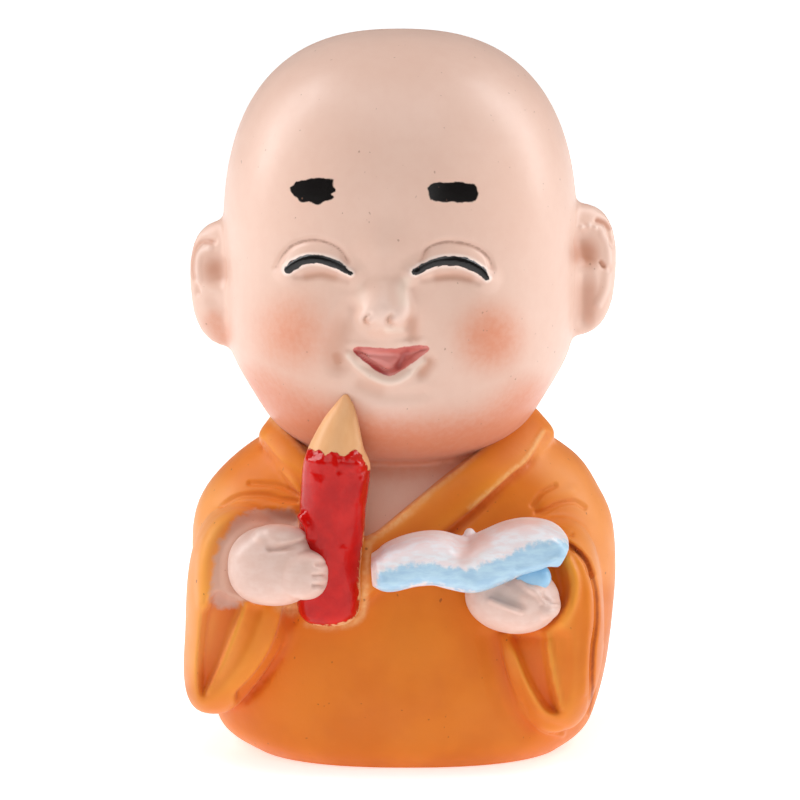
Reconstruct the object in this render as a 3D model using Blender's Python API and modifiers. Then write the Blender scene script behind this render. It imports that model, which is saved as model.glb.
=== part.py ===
"""A baby monk figurine: one solid resin casting that stands on its flat underside.

The figure is made as a caster makes the master. Lumps for the head, ears, robe, sleeves, collar,
hands, pencil and book are shaped one by one, melted into one skin, and cut flat below.
+Z is up, the figure faces -Y, and the origin is the middle of the underside.
"""

import math

import bmesh
import bpy
import numpy as np
from mathutils import Vector
from mathutils.bvhtree import BVHTree

# Driving dimensions, in metres
FIGURE_HEIGHT = 0.054  # underside to crown
PENCIL_DIAMETER = 0.0049
PENCIL_LENGTH = 0.0173  # tip to rounded foot
PENCIL_POINT = 0.0046  # length of the sharpened cone
BOOK_THICKNESS = 0.0037
BOOK_DEPTH = 0.0066  # from the robe to the front edge of the pages

# Pose, proportions and carving are shares of the height, laid out on a grid of 54 parts
PART = FIGURE_HEIGHT / 54

# The carving is drawn as it is seen by an eye in front and a little above, 400 parts away
EYE_LIFT = math.radians(10)
EYE_UP = np.array((0, math.sin(EYE_LIFT), math.cos(EYE_LIFT)))
EYE_BACK = np.array((0, math.cos(EYE_LIFT), -math.sin(EYE_LIFT)))
EYE_DISTANCE = 400
SHEET_MIDDLE = np.array((-0.225, 25.63))  # the place on the drawing that the eye looks at
SHEET_DEPTH = -6.5  # how far back the sheet of the drawing stands
EYE = np.array((SHEET_MIDDLE[0], 0, 0)) + EYE_UP * SHEET_MIDDLE[1] + EYE_BACK * (SHEET_DEPTH - EYE_DISTANCE)

# Fineness of the skin
CLAY_GRAIN = 0.40 * PART  # spacing of the melted skin
MELT_STEPS = 3  # smoothing passes over the joints between lumps
MOST_TRIANGLES = 9000
LUMP_ROWS = 40  # rows of faces on each side of a lump's starting cube
HAND_ROWS = 24
HEAD_ROWS = 56
ROBE_ROWS = 64

# Head: half width, half depth, and height above and below its middle, in parts
HEAD_MIDDLE = np.array((-0.22, -0.4, 38.2))
HEAD_SIDE = 13.25
HEAD_DEPTH = 12.7
HEAD_RISE = 15.8
HEAD_DROP = 16.2
HEAD_PLAN = 2.2  # squareness seen from above
CROWN_CURVE = 2.55  # squareness of the upper outline
JAW_CURVE = 3.1  # squareness of the lower outline
JAW_NARROWING = 0.065
NAPE_NARROWING = 0.22


# Strokes on the face: path on the drawing, spread, height, and the share that keeps the full height
FACE_STROKES = (
    (((-7.7, 30.9),), 6.0, 0.55, 0),  # cheeks
    (((6.5, 30.5),), 6.0, 0.55, 0),
    (((-1.4, 25.0),), 4.5, 0.5, 0),  # chin
    (((-1.3, 36.5), (-1.4, 33.0)), 3.0, 0.45, 0),  # bridge and tip of the nose
    (((-1.4, 32.5),), 2.5, 1.0, 0.2),
    (((-2.8, 31.9),), 1.0, 0.28, 0),  # nostrils
    (((-0.2, 31.9),), 1.0, 0.28, 0),
    (((1.2, 28.7), (-0.3, 27.5), (-1.3, 27.2), (-2.9, 28.3)), 1.0, 0.3, 0),  # lower lip
    (((-4.5, 31.7), (-5.0, 29.6), (-4.6, 27.4)), 1.0, -0.3, 0),  # corners of the smile
    (((2.0, 28.9), (1.6, 27.0)), 0.8, -0.25, 0),
    (((-8.6, 35.4), (-6.5, 36.2), (-3.9, 35.1)), 1.3, 0.35, 0),  # closed lids
    (((0.9, 35.2), (3.3, 36.1), (6.3, 34.8)), 1.3, 0.35, 0),
)

# Outline of the open smile on the drawing: the upper lip, then back along the lower one
SMILE = ((-3.9, 29.5), (-1.2, 29.5), (1.8, 29.7), (1.2, 28.7), (-0.3, 27.5), (-1.3, 27.2), (-2.9, 28.3))
SMILE_DEPTH = 0.9
SMILE_EDGE = 0.7

# Ears: each has its middle and its half height, in parts
EAR_HALF_WIDTH = 3.4
EAR_HALF_THICKNESS = 1.7
EAR_TURN = 28  # degrees about the upright
EAR_LEAN = 3  # degrees outwards
EAR_SQUARENESS = 2.6
EAR_BOWL = ((1.3, 1.8), (1.3, 0.0), (1.0, -2.6))  # path of its bowl, outwards and up from its middle
EAR_BOWL_STROKE = (1.2, -0.9, 0.2)
EARS = {-1: ((-12.75, -1.4, 35.15), 4.8), 1: ((12.75, -1.4, 36.2), 5.0)}

# Robe: height, half width, half depth in front and behind, and shift across, in parts
ROBE_LEVELS = (
    (-0.8, 0.0, 0.0, 0.0, 0.1),
    (-0.8, 9.8, 8.6, 8.6, 0.35),
    (0.0, 11.8, 9.9, 9.6, 0.35),
    (1.3, 13.7, 10.8, 10.4, 0.15),
    (3.0, 14.5, 11.1, 10.8, 0.15),
    (6.0, 15.2, 11.1, 11.0, 0.2),
    (10.0, 15.7, 10.6, 11.0, 0.2),
    (13.6, 16.0, 9.8, 10.6, 0.1),
    (17.0, 15.8, 8.9, 9.9, 0.0),
    (19.3, 14.85, 8.0, 9.1, -0.05),
    (21.5, 13.15, 6.9, 8.0, 0.2),
    (23.4, 10.6, 5.4, 6.6, 0.2),
    (26.0, 6.5, 3.6, 4.8, 0.15),
    (27.0, 0.0, 0.0, 0.0, 0.15),
)
ROBE_PLAN = 2.35  # squareness seen from above

# Collar: each half has its line on the drawing, its half width, and its height behind the neck
COLLAR = {
    -1: (((-2.6, 14.0), (-4.6, 16.2), (-7.0, 19.3), (-8.6, 21.5), (-9.5, 22.9)), 1.2, 23.8),
    1: (((-4.6, 11.0), (-1.2, 14.2), (1.4, 16.4), (3.6, 18.1), (6.3, 20.2), (9.7, 23.2)), 1.6, 24.0),
}
COLLAR_HALF_THICKNESS = 0.85
COLLAR_LIFT = 0.3  # how far its middle stands off the robe
BAND_SQUARENESS = 3.0
BEHIND_NECK = ((9.0, 2.0), (5.2, 7.2), (0.0, 8.6))  # distance to the side, and depth

# Sleeves: middle and radii, lean in degrees, narrowing and swing of the hanging end, and the wrist
SLEEVES = {
    -1: ((-12.1, -6.3, 11.3), (4.1, 6.1, 7.7), 2, 0.3, -1.9, (-10.2, 13.4)),
    1: ((11.0, -6.2, 10.3), (4.0, 6.0, 8.0), -1, 0.28, 0.5, (8.6, 10.8)),
}
SLEEVE_MOUTHS = {
    -1: ((-14.7, 11.0), (-12.0, 10.6), (-12.8, 7.6), (-13.9, 4.8), (-14.9, 3.3), (-15.5, 4.0), (-15.5, 7.0)),
    1: ((8.1, 8.3), (10.7, 8.3), (10.9, 6.8), (11.4, 4.6), (11.8, 2.4), (10.9, 2.7), (9.5, 4.6), (8.6, 6.4)),
}
SLEEVE_SQUARENESS = 2.8
WRIST_STROKE = (4.2, -1.3)
MOUTH_DEPTH = 1.3
MOUTH_EDGE = 1.0
CREASE_STROKE = (0.7, -0.5)
SLEEVE_CREASES = (
    ((-8.5, 9.9), (-8.9, 8.1), (-9.5, 6.7), (-10.6, 5.2), (-11.5, 3.9)),
    ((12.7, 14.8), (13.5, 14.0), (14.2, 12.8), (14.5, 11.2), (14.4, 8.3), (14.2, 5.5), (14.0, 2.8)),
)

# Hands: place on the drawing, depth, radii, and angles of each egg of clay
GRIPPING_HAND = (
    ((-9.7, 13.2, -12.0), (3.35, 3.1, 2.9), {"turn": -12}),
    ((-9.2, 15.1, -13.0), (2.1, 1.5, 1.15), {"lean": 4}),
    ((-7.6, 12.6, -13.4), (1.95, 2.2, 1.85), {"lean": 4}),
)
OPEN_HAND = (
    ((8.1, 10.5, -12.2), (3.6, 3.2, 2.35), {"lean": -3}),
    ((10.7, 10.4, -12.4), (1.25, 2.6, 1.15), {"lean": -20}),
    ((9.4, 11.9, -13.0), (1.7, 2.0, 1.1), {"lean": -12}),
)
HAND_SQUARENESS = 2.3
FINGER_STROKE = (0.4, -0.4)
FINGER_CUTS = (
    ((-10.2, 14.5), (-8.8, 14.55), (-6.9, 14.95)),
    ((-6.6, 13.3), (-5.6, 13.35)),
    ((-6.9, 12.35), (-5.5, 12.35)),
    ((-6.9, 11.6), (-5.6, 11.55)),
)

# Pencil: its tip in space, and how far its foot stands from the tip across and in depth
PENCIL_TIP = np.array((-4.2, -11.9, 28.6))
PENCIL_SLANT = np.array((-1.25, 0.6))
WEB_SETBACK = 2.6  # the web that joins the pencil to the chest is the same form, set back
WEB_SHARE = 0.8

# Open book: place on the drawing at mid depth, and thickness there as a share of the full one
BOOK_WAVE = (
    (-2.35, 12.9, 0.5), (-1.2, 13.0, 0.82), (0.6, 13.6, 0.93), (2.4, 13.8, 0.97),
    (3.9, 13.45, 0.97), (5.2, 13.3, 1.0), (6.6, 13.8, 1.03), (8.2, 14.5, 1.02),
    (9.6, 14.8, 0.96), (10.9, 14.75, 0.81), (12.0, 14.2, 0.5),
)
BOOK_BACK = -9.2  # depth of its rear edge
BOOK_SQUARENESS = 3.2

# Colours, from the painted casting
ROBE_ORANGE = (0.80, 0.22, 0.03, 1)


def smooth_through(stations, rows):
    """Rows of values on a smooth curve through the stations, spaced by their number."""
    stations = np.asarray(stations, float)
    ends = np.vstack([2 * stations[0] - stations[1], stations, 2 * stations[-1] - stations[-2]])
    spot = np.clip(rows, 0, len(stations) - 1 - 1e-9)
    first = spot.astype(int)
    t = (spot - first)[:, None]
    a, b, c, d = (ends[first + k] for k in range(4))
    return b + t * ((c - a) + t * ((2 * a - 5 * b + 4 * c - d) + t * (3 * b - 3 * c + d - a))) / 2


def step(low, high, value):
    """0 below low, 1 above high, and a soft rise between."""
    t = np.clip((value - low) / (high - low), 0, 1)
    return t * t * (3 - 2 * t)


def seen(points):
    """Across and up on the drawing of points in space: what is nearer looks larger."""
    nearness = EYE_DISTANCE / (points @ EYE_BACK - SHEET_DEPTH + EYE_DISTANCE)
    flat = np.column_stack([points[:, 0], points @ EYE_UP])
    return SHEET_MIDDLE + (flat - SHEET_MIDDLE) * nearness[:, None]


def sight_to(across, up):
    """The way from the eye through a place on the drawing."""
    return np.array((across, 0, 0)) + EYE_UP * up + EYE_BACK * SHEET_DEPTH - EYE


def at(across, up, depth):
    """The point in space that shows at this place on the drawing and has this depth."""
    sight = sight_to(across, up)
    return EYE + sight * (depth - EYE[1]) / sight[1]


def along_path(places, path):
    """Distance of each place on the drawing from a smooth path."""
    path = np.asarray(path, float)
    if len(path) == 1:
        return np.linalg.norm(places - path[0], axis=1)
    fine = smooth_through(path, np.linspace(0, len(path) - 1, 12 * len(path)))
    start, run = fine[:-1], np.diff(fine, axis=0)
    gap = places[:, None] - start[None]
    share = np.clip((gap * run).sum(2) / (run**2).sum(1), 0, 1)
    return np.linalg.norm(gap - share[..., None] * run, axis=2).min(1)


def points_of(mesh):
    points = np.empty(len(mesh.vertices) * 3, np.float32)
    mesh.vertices.foreach_get("co", points)
    return points.reshape(-1, 3).astype(float)


def normals_of(mesh):
    normals = np.empty(len(mesh.vertices) * 3, np.float32)
    mesh.vertex_normals.foreach_get("vector", normals)
    return normals.reshape(-1, 3).astype(float)


def put_points(mesh, points):
    mesh.vertices.foreach_set("co", np.asarray(points, np.float32).ravel())
    mesh.update()


def carve(mesh, path, reach, height, flat=0.0, straight=False):
    """Raises the front of a lump along a drawn path, or sinks it where the height is negative.

    The reach is how far the stroke spreads to each side, and flat is the share of it that keeps the
    full height. A straight stroke moves the skin towards the eye or away from it, and any other
    stroke moves it along its own normals.
    """
    points, normals = points_of(mesh), normals_of(mesh)
    places = seen(points)
    margin = reach + 0.5
    near = ((places > np.min(path, axis=0) - margin) & (places < np.max(path, axis=0) + margin)).all(1)
    lift = height * (1 - step(flat, 1, along_path(places[near], path) / reach))
    lift *= step(0.0, 0.35, -normals[near] @ EYE_BACK)
    way = -EYE_BACK if straight else normals[near]
    points[near] += way * lift[:, None]
    put_points(mesh, points)


def inside(places, outline):
    """How far each place lies inside a smooth closed outline, negative outside it."""
    outline = np.asarray(outline, float)
    ring = np.vstack([outline[-1:], outline, outline[:2]])
    rows = np.arange(1, len(outline) + 1, 1 / 8)
    fine = smooth_through(ring, rows)
    start, end = fine, np.roll(fine, -1, axis=0)
    run = end - start
    gap = places[:, None] - start[None]
    share = np.clip((gap * run).sum(2) / (run**2).sum(1), 0, 1)
    distance = np.linalg.norm(gap - share[..., None] * run, axis=2).min(1)
    across, up = places[:, :1], places[:, 1:]
    crossed = (start[:, 1] > up) != (end[:, 1] > up)
    rise = np.where(run[:, 1] == 0, 1e-12, run[:, 1])
    crossed &= across < start[:, 0] + (up - start[:, 1]) * run[:, 0] / rise
    return np.where(crossed.sum(1) % 2 == 1, distance, -distance)


def sink(mesh, outline, depth, edge):
    """Sinks the front of a lump inside a drawn outline, with a soft edge, and spares its rear half."""
    points, normals = points_of(mesh), normals_of(mesh)
    drop = depth * step(0, edge, inside(seen(points), outline))
    drop *= step(0.0, 0.35, -normals @ EYE_BACK) * step(0.0, 2.0, -points[:, 1])
    put_points(mesh, points + EYE_BACK * drop[:, None])


def starting_ball(rows=LUMP_ROWS):
    """A round lump of even faces, from a cube whose faces are divided and pushed out."""
    bm = bmesh.new()
    bmesh.ops.create_cube(bm, size=2)
    bmesh.ops.subdivide_edges(bm, edges=bm.edges[:], cuts=rows - 1, use_grid_fill=True)
    ball = bpy.data.meshes.new("lump")
    bm.to_mesh(ball)
    bm.free()
    points = np.tan(points_of(ball) * math.pi / 4)
    put_points(ball, points / np.linalg.norm(points, axis=1)[:, None])
    return ball


def shape(ball, rule):
    """Moves every point of a lump to where the rule puts its direction."""
    put_points(ball, rule(points_of(ball)))
    return ball


def egg(middle, radii, squareness=2.0, turn=0.0, lean=0.0, rows=LUMP_ROWS):
    """A squarish egg, leaned sideways about the Y axis and then turned about the upright, in degrees."""

    def rule(directions):
        size = (np.abs(directions / radii) ** squareness).sum(1) ** (-1 / squareness)
        x, y, z = (directions * size[:, None]).T
        c, s = math.cos(math.radians(lean)), math.sin(math.radians(lean))
        x, z = x * c + z * s, z * c - x * s
        c, s = math.cos(math.radians(turn)), math.sin(math.radians(turn))
        return np.column_stack([x * c - y * s, x * s + y * c, z]) + middle

    return shape(starting_ball(rows), rule)


def loft(centres, outward, half_width, half_thickness, squareness, sides=20):
    """A closed strip along a path, with its flat side turned outward at each point."""
    centres, outward = np.asarray(centres, float), np.asarray(outward, float)
    forward = np.gradient(centres, axis=0)
    forward /= np.linalg.norm(forward, axis=1)[:, None]
    across = np.cross(forward, outward)
    across /= np.linalg.norm(across, axis=1)[:, None]
    out = np.cross(across, forward)
    angles = np.arange(sides) * 2 * math.pi / sides
    c, s = np.cos(angles), np.sin(angles)
    size = (np.abs(c) ** squareness + np.abs(s) ** squareness) ** (-1 / squareness)
    widths = np.broadcast_to(half_width, len(centres))
    thicknesses = np.broadcast_to(half_thickness, len(centres))
    bm = bmesh.new()
    rings = []
    for i, centre in enumerate(centres):
        sideways = np.outer(c * size * widths[i], across[i])
        ring = centre + sideways + np.outer(s * size * thicknesses[i], out[i])
        rings.append([bm.verts.new(point) for point in ring])
    for before, after in zip(rings, rings[1:]):
        for k in range(sides):
            bm.faces.new((before[k], before[k - 1], after[k - 1], after[k]))
    bm.faces.new(rings[0])
    bm.faces.new(rings[-1][::-1])
    bmesh.ops.recalc_face_normals(bm, faces=bm.faces[:])
    strip = bpy.data.meshes.new("lump")
    bm.to_mesh(strip)
    bm.free()
    return strip


def head_lump():
    """The squarish egg of the head with its cheeks, nose, smile and closed eyes."""

    def rule(d):
        upright = np.where(d[:, 2] > 0, HEAD_RISE, HEAD_DROP)
        curve = np.where(d[:, 2] > 0, CROWN_CURVE, JAW_CURVE)
        plan = (np.abs(d[:, 0]) / HEAD_SIDE) ** HEAD_PLAN + (np.abs(d[:, 1]) / HEAD_DEPTH) ** HEAD_PLAN
        size = (plan ** (curve / HEAD_PLAN) + (np.abs(d[:, 2]) / upright) ** curve) ** (-1 / curve)
        points = d * size[:, None]
        drop = -points[:, 2] / HEAD_DROP
        points[:, 0] *= 1 - JAW_NARROWING * step(0.45, 0.75, drop)
        points[:, 1] *= np.where(points[:, 1] > 0, 1 - NAPE_NARROWING * step(0.1, 1.0, drop), 1)
        return points + HEAD_MIDDLE

    lump = shape(starting_ball(HEAD_ROWS), rule)
    for path, spread, height, flat in FACE_STROKES:
        carve(lump, path, spread, height, flat=flat)
    sink(lump, SMILE, SMILE_DEPTH, SMILE_EDGE)
    return lump


def ear_lump(side):
    """An ear: a flat egg set on the side of the head, with its bowl pressed in from the front."""
    middle, half_height = EARS[side]
    radii = (EAR_HALF_WIDTH, EAR_HALF_THICKNESS, half_height)
    lump = egg(middle, radii, squareness=EAR_SQUARENESS, turn=side * EAR_TURN, lean=side * EAR_LEAN)
    bowl = [(middle[0] + side * outwards, middle @ EYE_UP + up) for outwards, up in EAR_BOWL]
    spread, height, flat = EAR_BOWL_STROKE
    carve(lump, bowl, spread, height, flat=flat)
    return lump


def robe_lump():
    """The bell of the robe, from the rounded foot up to the neck."""

    def rule(d):
        rows = (len(ROBE_LEVELS) - 1) * np.arccos(np.clip(-d[:, 2], -1, 1)) / math.pi
        z, side, front, back, shift = smooth_through(ROBE_LEVELS, rows).T
        around = np.arctan2(d[:, 1], d[:, 0])
        c, s = np.cos(around), np.sin(around)
        size = (np.abs(c) ** ROBE_PLAN + np.abs(s) ** ROBE_PLAN) ** (-1 / ROBE_PLAN)
        depth = np.where(s < 0, front, back)
        return np.column_stack([c * size * side + shift, s * size * depth, z])

    return shape(starting_ball(ROBE_ROWS), rule)


def collar_lump(robe, side):
    """One half of the collar: a raised band that follows the robe in front and the neck behind."""
    drawn, half_width, neck_height = COLLAR[side]
    surface = BVHTree.FromPolygons(points_of(robe), [face.vertices[:] for face in robe.polygons])
    centres, outward = [], []
    for across, up in drawn:
        hit, normal, _, _ = surface.ray_cast(Vector(EYE), Vector(sight_to(across, up)).normalized())
        centres.append(hit + normal * COLLAR_LIFT)
        outward.append(normal)
    for across, depth in BEHIND_NECK:
        centres.append((side * across, depth, neck_height))
        outward.append(Vector((side * across, depth - 1.0, 2.0)).normalized())
    rows = np.linspace(0, len(centres) - 1, 8 * len(centres))
    route, faced = smooth_through(centres, rows), smooth_through(outward, rows)
    return loft(route, faced, half_width, COLLAR_HALF_THICKNESS, BAND_SQUARENESS)


def sleeve_lump(side):
    """A sleeve that hangs open below the wrist: a deep egg whose front is hollowed inside its rim."""
    middle, radii, lean, narrowing, swing, wrist = SLEEVES[side]
    lump = egg(middle, radii, squareness=SLEEVE_SQUARENESS, lean=lean)
    points = points_of(lump)
    hang = step(0.1, 1.0, (middle[2] - points[:, 2]) / radii[2])
    points[:, 0] = middle[0] + (points[:, 0] - middle[0]) * (1 - narrowing * hang) + swing * hang
    put_points(lump, points)
    carve(lump, [wrist], *WRIST_STROKE, straight=True)
    sink(lump, SLEEVE_MOUTHS[side], MOUTH_DEPTH, MOUTH_EDGE)
    return lump


def hand_lumps(eggs):
    """One egg of clay for the palm and one for each finger that stands out."""
    return [
        egg(at(*place), radii, HAND_SQUARENESS, rows=HAND_ROWS, **angles)
        for place, radii, angles in eggs
    ]


def pencil_lump(setback=0.0, share=1.0):
    """The pencil: a round body leaning back to the chin, with a sharpened cone and a rounded foot.

    Set back and narrowed by a share, the same form is the web that joins the pencil to the chest.
    """
    radius = PENCIL_DIAMETER / PART / 2
    point = PENCIL_POINT / PART
    length = PENCIL_LENGTH / PART
    body = length - point
    drop = math.sqrt(length**2 - (PENCIL_SLANT**2).sum())
    foot = PENCIL_TIP + (*PENCIL_SLANT, -drop)
    rise = (PENCIL_TIP - foot) / length
    stations = np.array(
        [(0.0, 0.55), (0.25, 0.85), (0.9, 1.0), (body * 0.5, 1.0), (body - 0.3, 0.98), (body, 0.93),
         (body + point * 0.5, 0.55), (body + point * 0.93, 0.16), (length, 0.05)]
    )
    centres = foot + np.outer(stations[:, 0], rise) + (0.0, setback, 0.0)
    outward = np.tile((0.0, -1.0, 0.0), (len(stations), 1))
    across = stations[:, 1] * radius * share
    return loft(centres, outward, across, stations[:, 1] * radius, 2.0)


def book_lump():
    """The open book: a thick slab that swells on both pages and dips at the spine."""
    half_depth = BOOK_DEPTH / PART / 2
    rows = np.linspace(0, len(BOOK_WAVE) - 1, 40)
    across, up, share = smooth_through(BOOK_WAVE, rows).T
    centres = [at(a, u, BOOK_BACK - half_depth) for a, u in zip(across, up)]
    outward = np.tile((0.0, 0.0, 1.0), (len(rows), 1))
    widths = half_depth * (0.75 + 0.25 * np.sqrt(np.clip(2 * share - 0.9, 0, 1)))
    return loft(centres, outward, widths, BOOK_THICKNESS / PART / 2 * share, BOOK_SQUARENESS, sides=28)


def lumps():
    """Every lump of the figure, on the grid of parts."""
    robe = robe_lump()
    made = [robe, head_lump()]
    made += [collar_lump(robe, side) for side in COLLAR]
    made += [ear_lump(side) for side in EARS]
    made += [sleeve_lump(side) for side in SLEEVES]
    made += hand_lumps(GRIPPING_HAND) + hand_lumps(OPEN_HAND)
    made += [pencil_lump(), pencil_lump(WEB_SETBACK, WEB_SHARE), book_lump()]
    return made


def cut_creases(mesh):
    """Creases that run over more than one lump are cut into the joined skin."""
    for crease in SLEEVE_CREASES:
        carve(mesh, crease, *CREASE_STROKE)
    for cut in FINGER_CUTS:
        carve(mesh, cut, *FINGER_STROKE)


def joined(made):
    """All lumps as one mesh at real size, each still a closed body of its own."""
    whole = bmesh.new()
    for lump in made:
        whole.from_mesh(lump)
        bpy.data.meshes.remove(lump)
    mesh = bpy.data.meshes.new("monk_figurine")
    whole.to_mesh(mesh)
    whole.free()
    cut_creases(mesh)
    put_points(mesh, points_of(mesh) * PART)
    return mesh


def ground_cutter(collection):
    """A block whose top is the ground, to cut the underside flat."""
    size = FIGURE_HEIGHT
    bm = bmesh.new()
    bmesh.ops.create_cube(bm, size=size)
    bmesh.ops.translate(bm, vec=(0, 0, -size / 2), verts=bm.verts[:])
    mesh = bpy.data.meshes.new("ground_block")
    bm.to_mesh(mesh)
    bm.free()
    cutter = bpy.data.objects.new("ground_block", mesh)
    collection.objects.link(cutter)
    cutter.hide_render = True
    cutter.display_type = "WIRE"
    return cutter


def painted(name, colour, roughness):
    material = bpy.data.materials.new(name)
    material.use_nodes = True
    shader = material.node_tree.nodes["Principled BSDF"]
    shader.inputs["Base Color"].default_value = colour
    shader.inputs["Roughness"].default_value = roughness
    shader.inputs["Metallic"].default_value = 0
    material.diffuse_color = colour
    return material


def main():
    for old in list(bpy.data.objects):
        bpy.data.objects.remove(old)
    figure = bpy.data.collections.new("baby_monk")
    cutters = bpy.data.collections.new("cutters")
    for collection in (figure, cutters):
        bpy.context.scene.collection.children.link(collection)

    monk = bpy.data.objects.new("monk_figurine", joined(lumps()))
    figure.objects.link(monk)
    monk.data.materials.append(painted("painted_resin", ROBE_ORANGE, 0.5))

    melt = monk.modifiers.new("melt", "REMESH")
    melt.mode = "VOXEL"
    melt.voxel_size = CLAY_GRAIN
    melt.use_smooth_shade = True
    soften = monk.modifiers.new("soften", "SMOOTH")
    soften.factor = 0.5
    soften.iterations = MELT_STEPS

    fine = monk.evaluated_get(bpy.context.evaluated_depsgraph_get()).to_mesh()
    triangles = sum(len(face.vertices) - 2 for face in fine.polygons)
    thin = monk.modifiers.new("thin", "DECIMATE")
    thin.ratio = min(1, MOST_TRIANGLES / triangles)

    flatten = monk.modifiers.new("flat_underside", "BOOLEAN")
    flatten.operation = "DIFFERENCE"
    flatten.object = ground_cutter(cutters)
    monk.data.shade_smooth()


main()
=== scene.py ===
# %% [markdown]
# # A baby monk figurine, sculpted and painted
#
# The real object is a small souvenir: one solid casting in resin, painted by hand. A mould maker
# would first sculpt it in clay, and this lesson does the same: rough lumps are placed, melted into
# one skin, and then carved with strokes of a soft brush. After that the colours go on, as paint
# does: a base coat, sprayed tints, and small areas laid on with a brush. Some of the tints are
# painted shade in creases and hollows, and painted highlight on ridges.

# %% Load the fixed frame
import math

import bpy
import numpy as np
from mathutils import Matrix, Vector
from mathutils.bvhtree import BVHTree


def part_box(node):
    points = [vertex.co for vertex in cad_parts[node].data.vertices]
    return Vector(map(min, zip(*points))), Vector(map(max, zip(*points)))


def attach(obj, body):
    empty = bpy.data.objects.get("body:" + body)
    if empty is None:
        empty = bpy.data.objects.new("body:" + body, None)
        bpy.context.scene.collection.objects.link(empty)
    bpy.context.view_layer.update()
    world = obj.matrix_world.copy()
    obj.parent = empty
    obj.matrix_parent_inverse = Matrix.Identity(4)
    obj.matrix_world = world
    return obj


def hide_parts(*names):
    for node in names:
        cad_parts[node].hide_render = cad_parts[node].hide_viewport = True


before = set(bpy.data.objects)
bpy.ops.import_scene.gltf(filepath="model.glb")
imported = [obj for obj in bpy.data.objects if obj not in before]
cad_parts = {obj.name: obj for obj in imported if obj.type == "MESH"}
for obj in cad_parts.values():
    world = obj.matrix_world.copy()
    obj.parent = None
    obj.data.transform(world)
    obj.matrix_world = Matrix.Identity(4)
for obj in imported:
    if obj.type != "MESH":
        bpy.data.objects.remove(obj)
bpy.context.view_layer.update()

SOLID = "monk_figurine"
BODY = "root"
low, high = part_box(SOLID)
PART = (high.z - low.z) / 54
print("the solid is", [round(1000 * side, 2) for side in high - low], "mm, one part", 1000 * PART)

# %% [markdown]
# ## A drawing to carve on
#
# A sculptor who copies a face holds a drawing of it in front of the clay. Here that drawing is the
# figure as it is seen from 400 parts away, in front and ten degrees above. Each point of the clay
# has a place on it: how far across, and how far up. Every stroke and every edge of paint is then a
# short smooth line on the drawing, in parts of the figure's height. The figure is 54 parts high.
# What is nearer looks a little larger, so the drawing has perspective, as a photograph has.

# %% The drawing plane and smooth lines on it
EYE_LIFT = math.radians(10)
EYE_UP = np.array((0, math.sin(EYE_LIFT), math.cos(EYE_LIFT)))
EYE_BACK = np.array((0, math.cos(EYE_LIFT), -math.sin(EYE_LIFT)))
EYE_DISTANCE = 400
SHEET_MIDDLE = np.array((-0.225, 25.63))
SHEET_DEPTH = -6.5
EYE = np.array((SHEET_MIDDLE[0], 0, 0)) + EYE_UP * SHEET_MIDDLE[1] + EYE_BACK * (SHEET_DEPTH - EYE_DISTANCE)
FAR_OUTSIDE = -9.0
MARGIN = 2.0
FACING = 0.35
TURNED_AWAY = 0.3


def seen(points):
    """Across and up on the drawing, for points in space."""
    nearness = EYE_DISTANCE / (points @ EYE_BACK - SHEET_DEPTH + EYE_DISTANCE)
    flat = np.column_stack([points[:, 0], points @ EYE_UP])
    return SHEET_MIDDLE + (flat - SHEET_MIDDLE) * nearness[:, None]


def at(across, up, y):
    """The point in space that shows at this place on the drawing and has this y."""
    sight = np.array((across, 0, 0)) + EYE_UP * up + EYE_BACK * SHEET_DEPTH - EYE
    return EYE + sight * (y - EYE[1]) / sight[1]


def smooth_through(stations, rows):
    stations = np.asarray(stations, float)
    ends = np.vstack([2 * stations[0] - stations[1], stations, 2 * stations[-1] - stations[-2]])
    spot = np.clip(rows, 0, len(stations) - 1 - 1e-9)
    first = spot.astype(int)
    t = (spot - first)[:, None]
    a, b, c, d = (ends[first + k] for k in range(4))
    return b + t * ((c - a) + t * ((2 * a - 5 * b + 4 * c - d) + t * (3 * b - 3 * c + d - a))) / 2


def step(start, end, value):
    t = np.clip((value - start) / (end - start), 0, 1)
    return t * t * (3 - 2 * t)


def nearest_on(places, start, run):
    gap = places[:, None] - start[None]
    share = np.clip((gap * run).sum(2) / (run**2).sum(1), 0, 1)
    distance = np.linalg.norm(gap - share[..., None] * run, axis=2)
    first = distance.argmin(1)
    rows = np.arange(len(places))
    return distance[rows, first], (first + share[rows, first]) / len(run)


def along_path(places, path):
    """Distance of each place from a smooth path, and the share of the path that is nearest."""
    path = np.asarray(path, float)
    if len(path) == 1:
        return np.linalg.norm(places - path[0], axis=1), np.zeros(len(places))
    fine = smooth_through(path, np.linspace(0, len(path) - 1, 8 * len(path)))
    return nearest_on(places, fine[:-1], np.diff(fine, axis=0))


def inside(places, outline):
    """How far each place lies inside a smooth closed outline, negative outside it."""
    outline = np.asarray(outline, float)
    ring = np.vstack([outline[-1:], outline, outline[:2]])
    fine = smooth_through(ring, np.arange(1, len(outline) + 1, 1 / 6))
    value = np.full(len(places), FAR_OUTSIDE)
    near = ((places > fine.min(0) - MARGIN) & (places < fine.max(0) + MARGIN)).all(1)
    spots = places[near]
    run = np.roll(fine, -1, axis=0) - fine
    distance, _ = nearest_on(spots, fine, run)
    across, up = spots[:, :1], spots[:, 1:]
    end_up = fine[:, 1] + run[:, 1]
    rise = np.where(run[:, 1] == 0, 1e-12, run[:, 1])
    crossed = (fine[:, 1] > up) != (end_up > up)
    crossed &= across < fine[:, 0] + (up - fine[:, 1]) * run[:, 0] / rise
    value[near] = np.where(crossed.sum(1) % 2 == 1, distance, -distance)
    return value


SQUARE = ((0, 0), (4, 0), (4, 4), (0, 4))
print("a place 1 part inside a square reads", inside(np.array([(1.0, 2.0)]), SQUARE))

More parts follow.
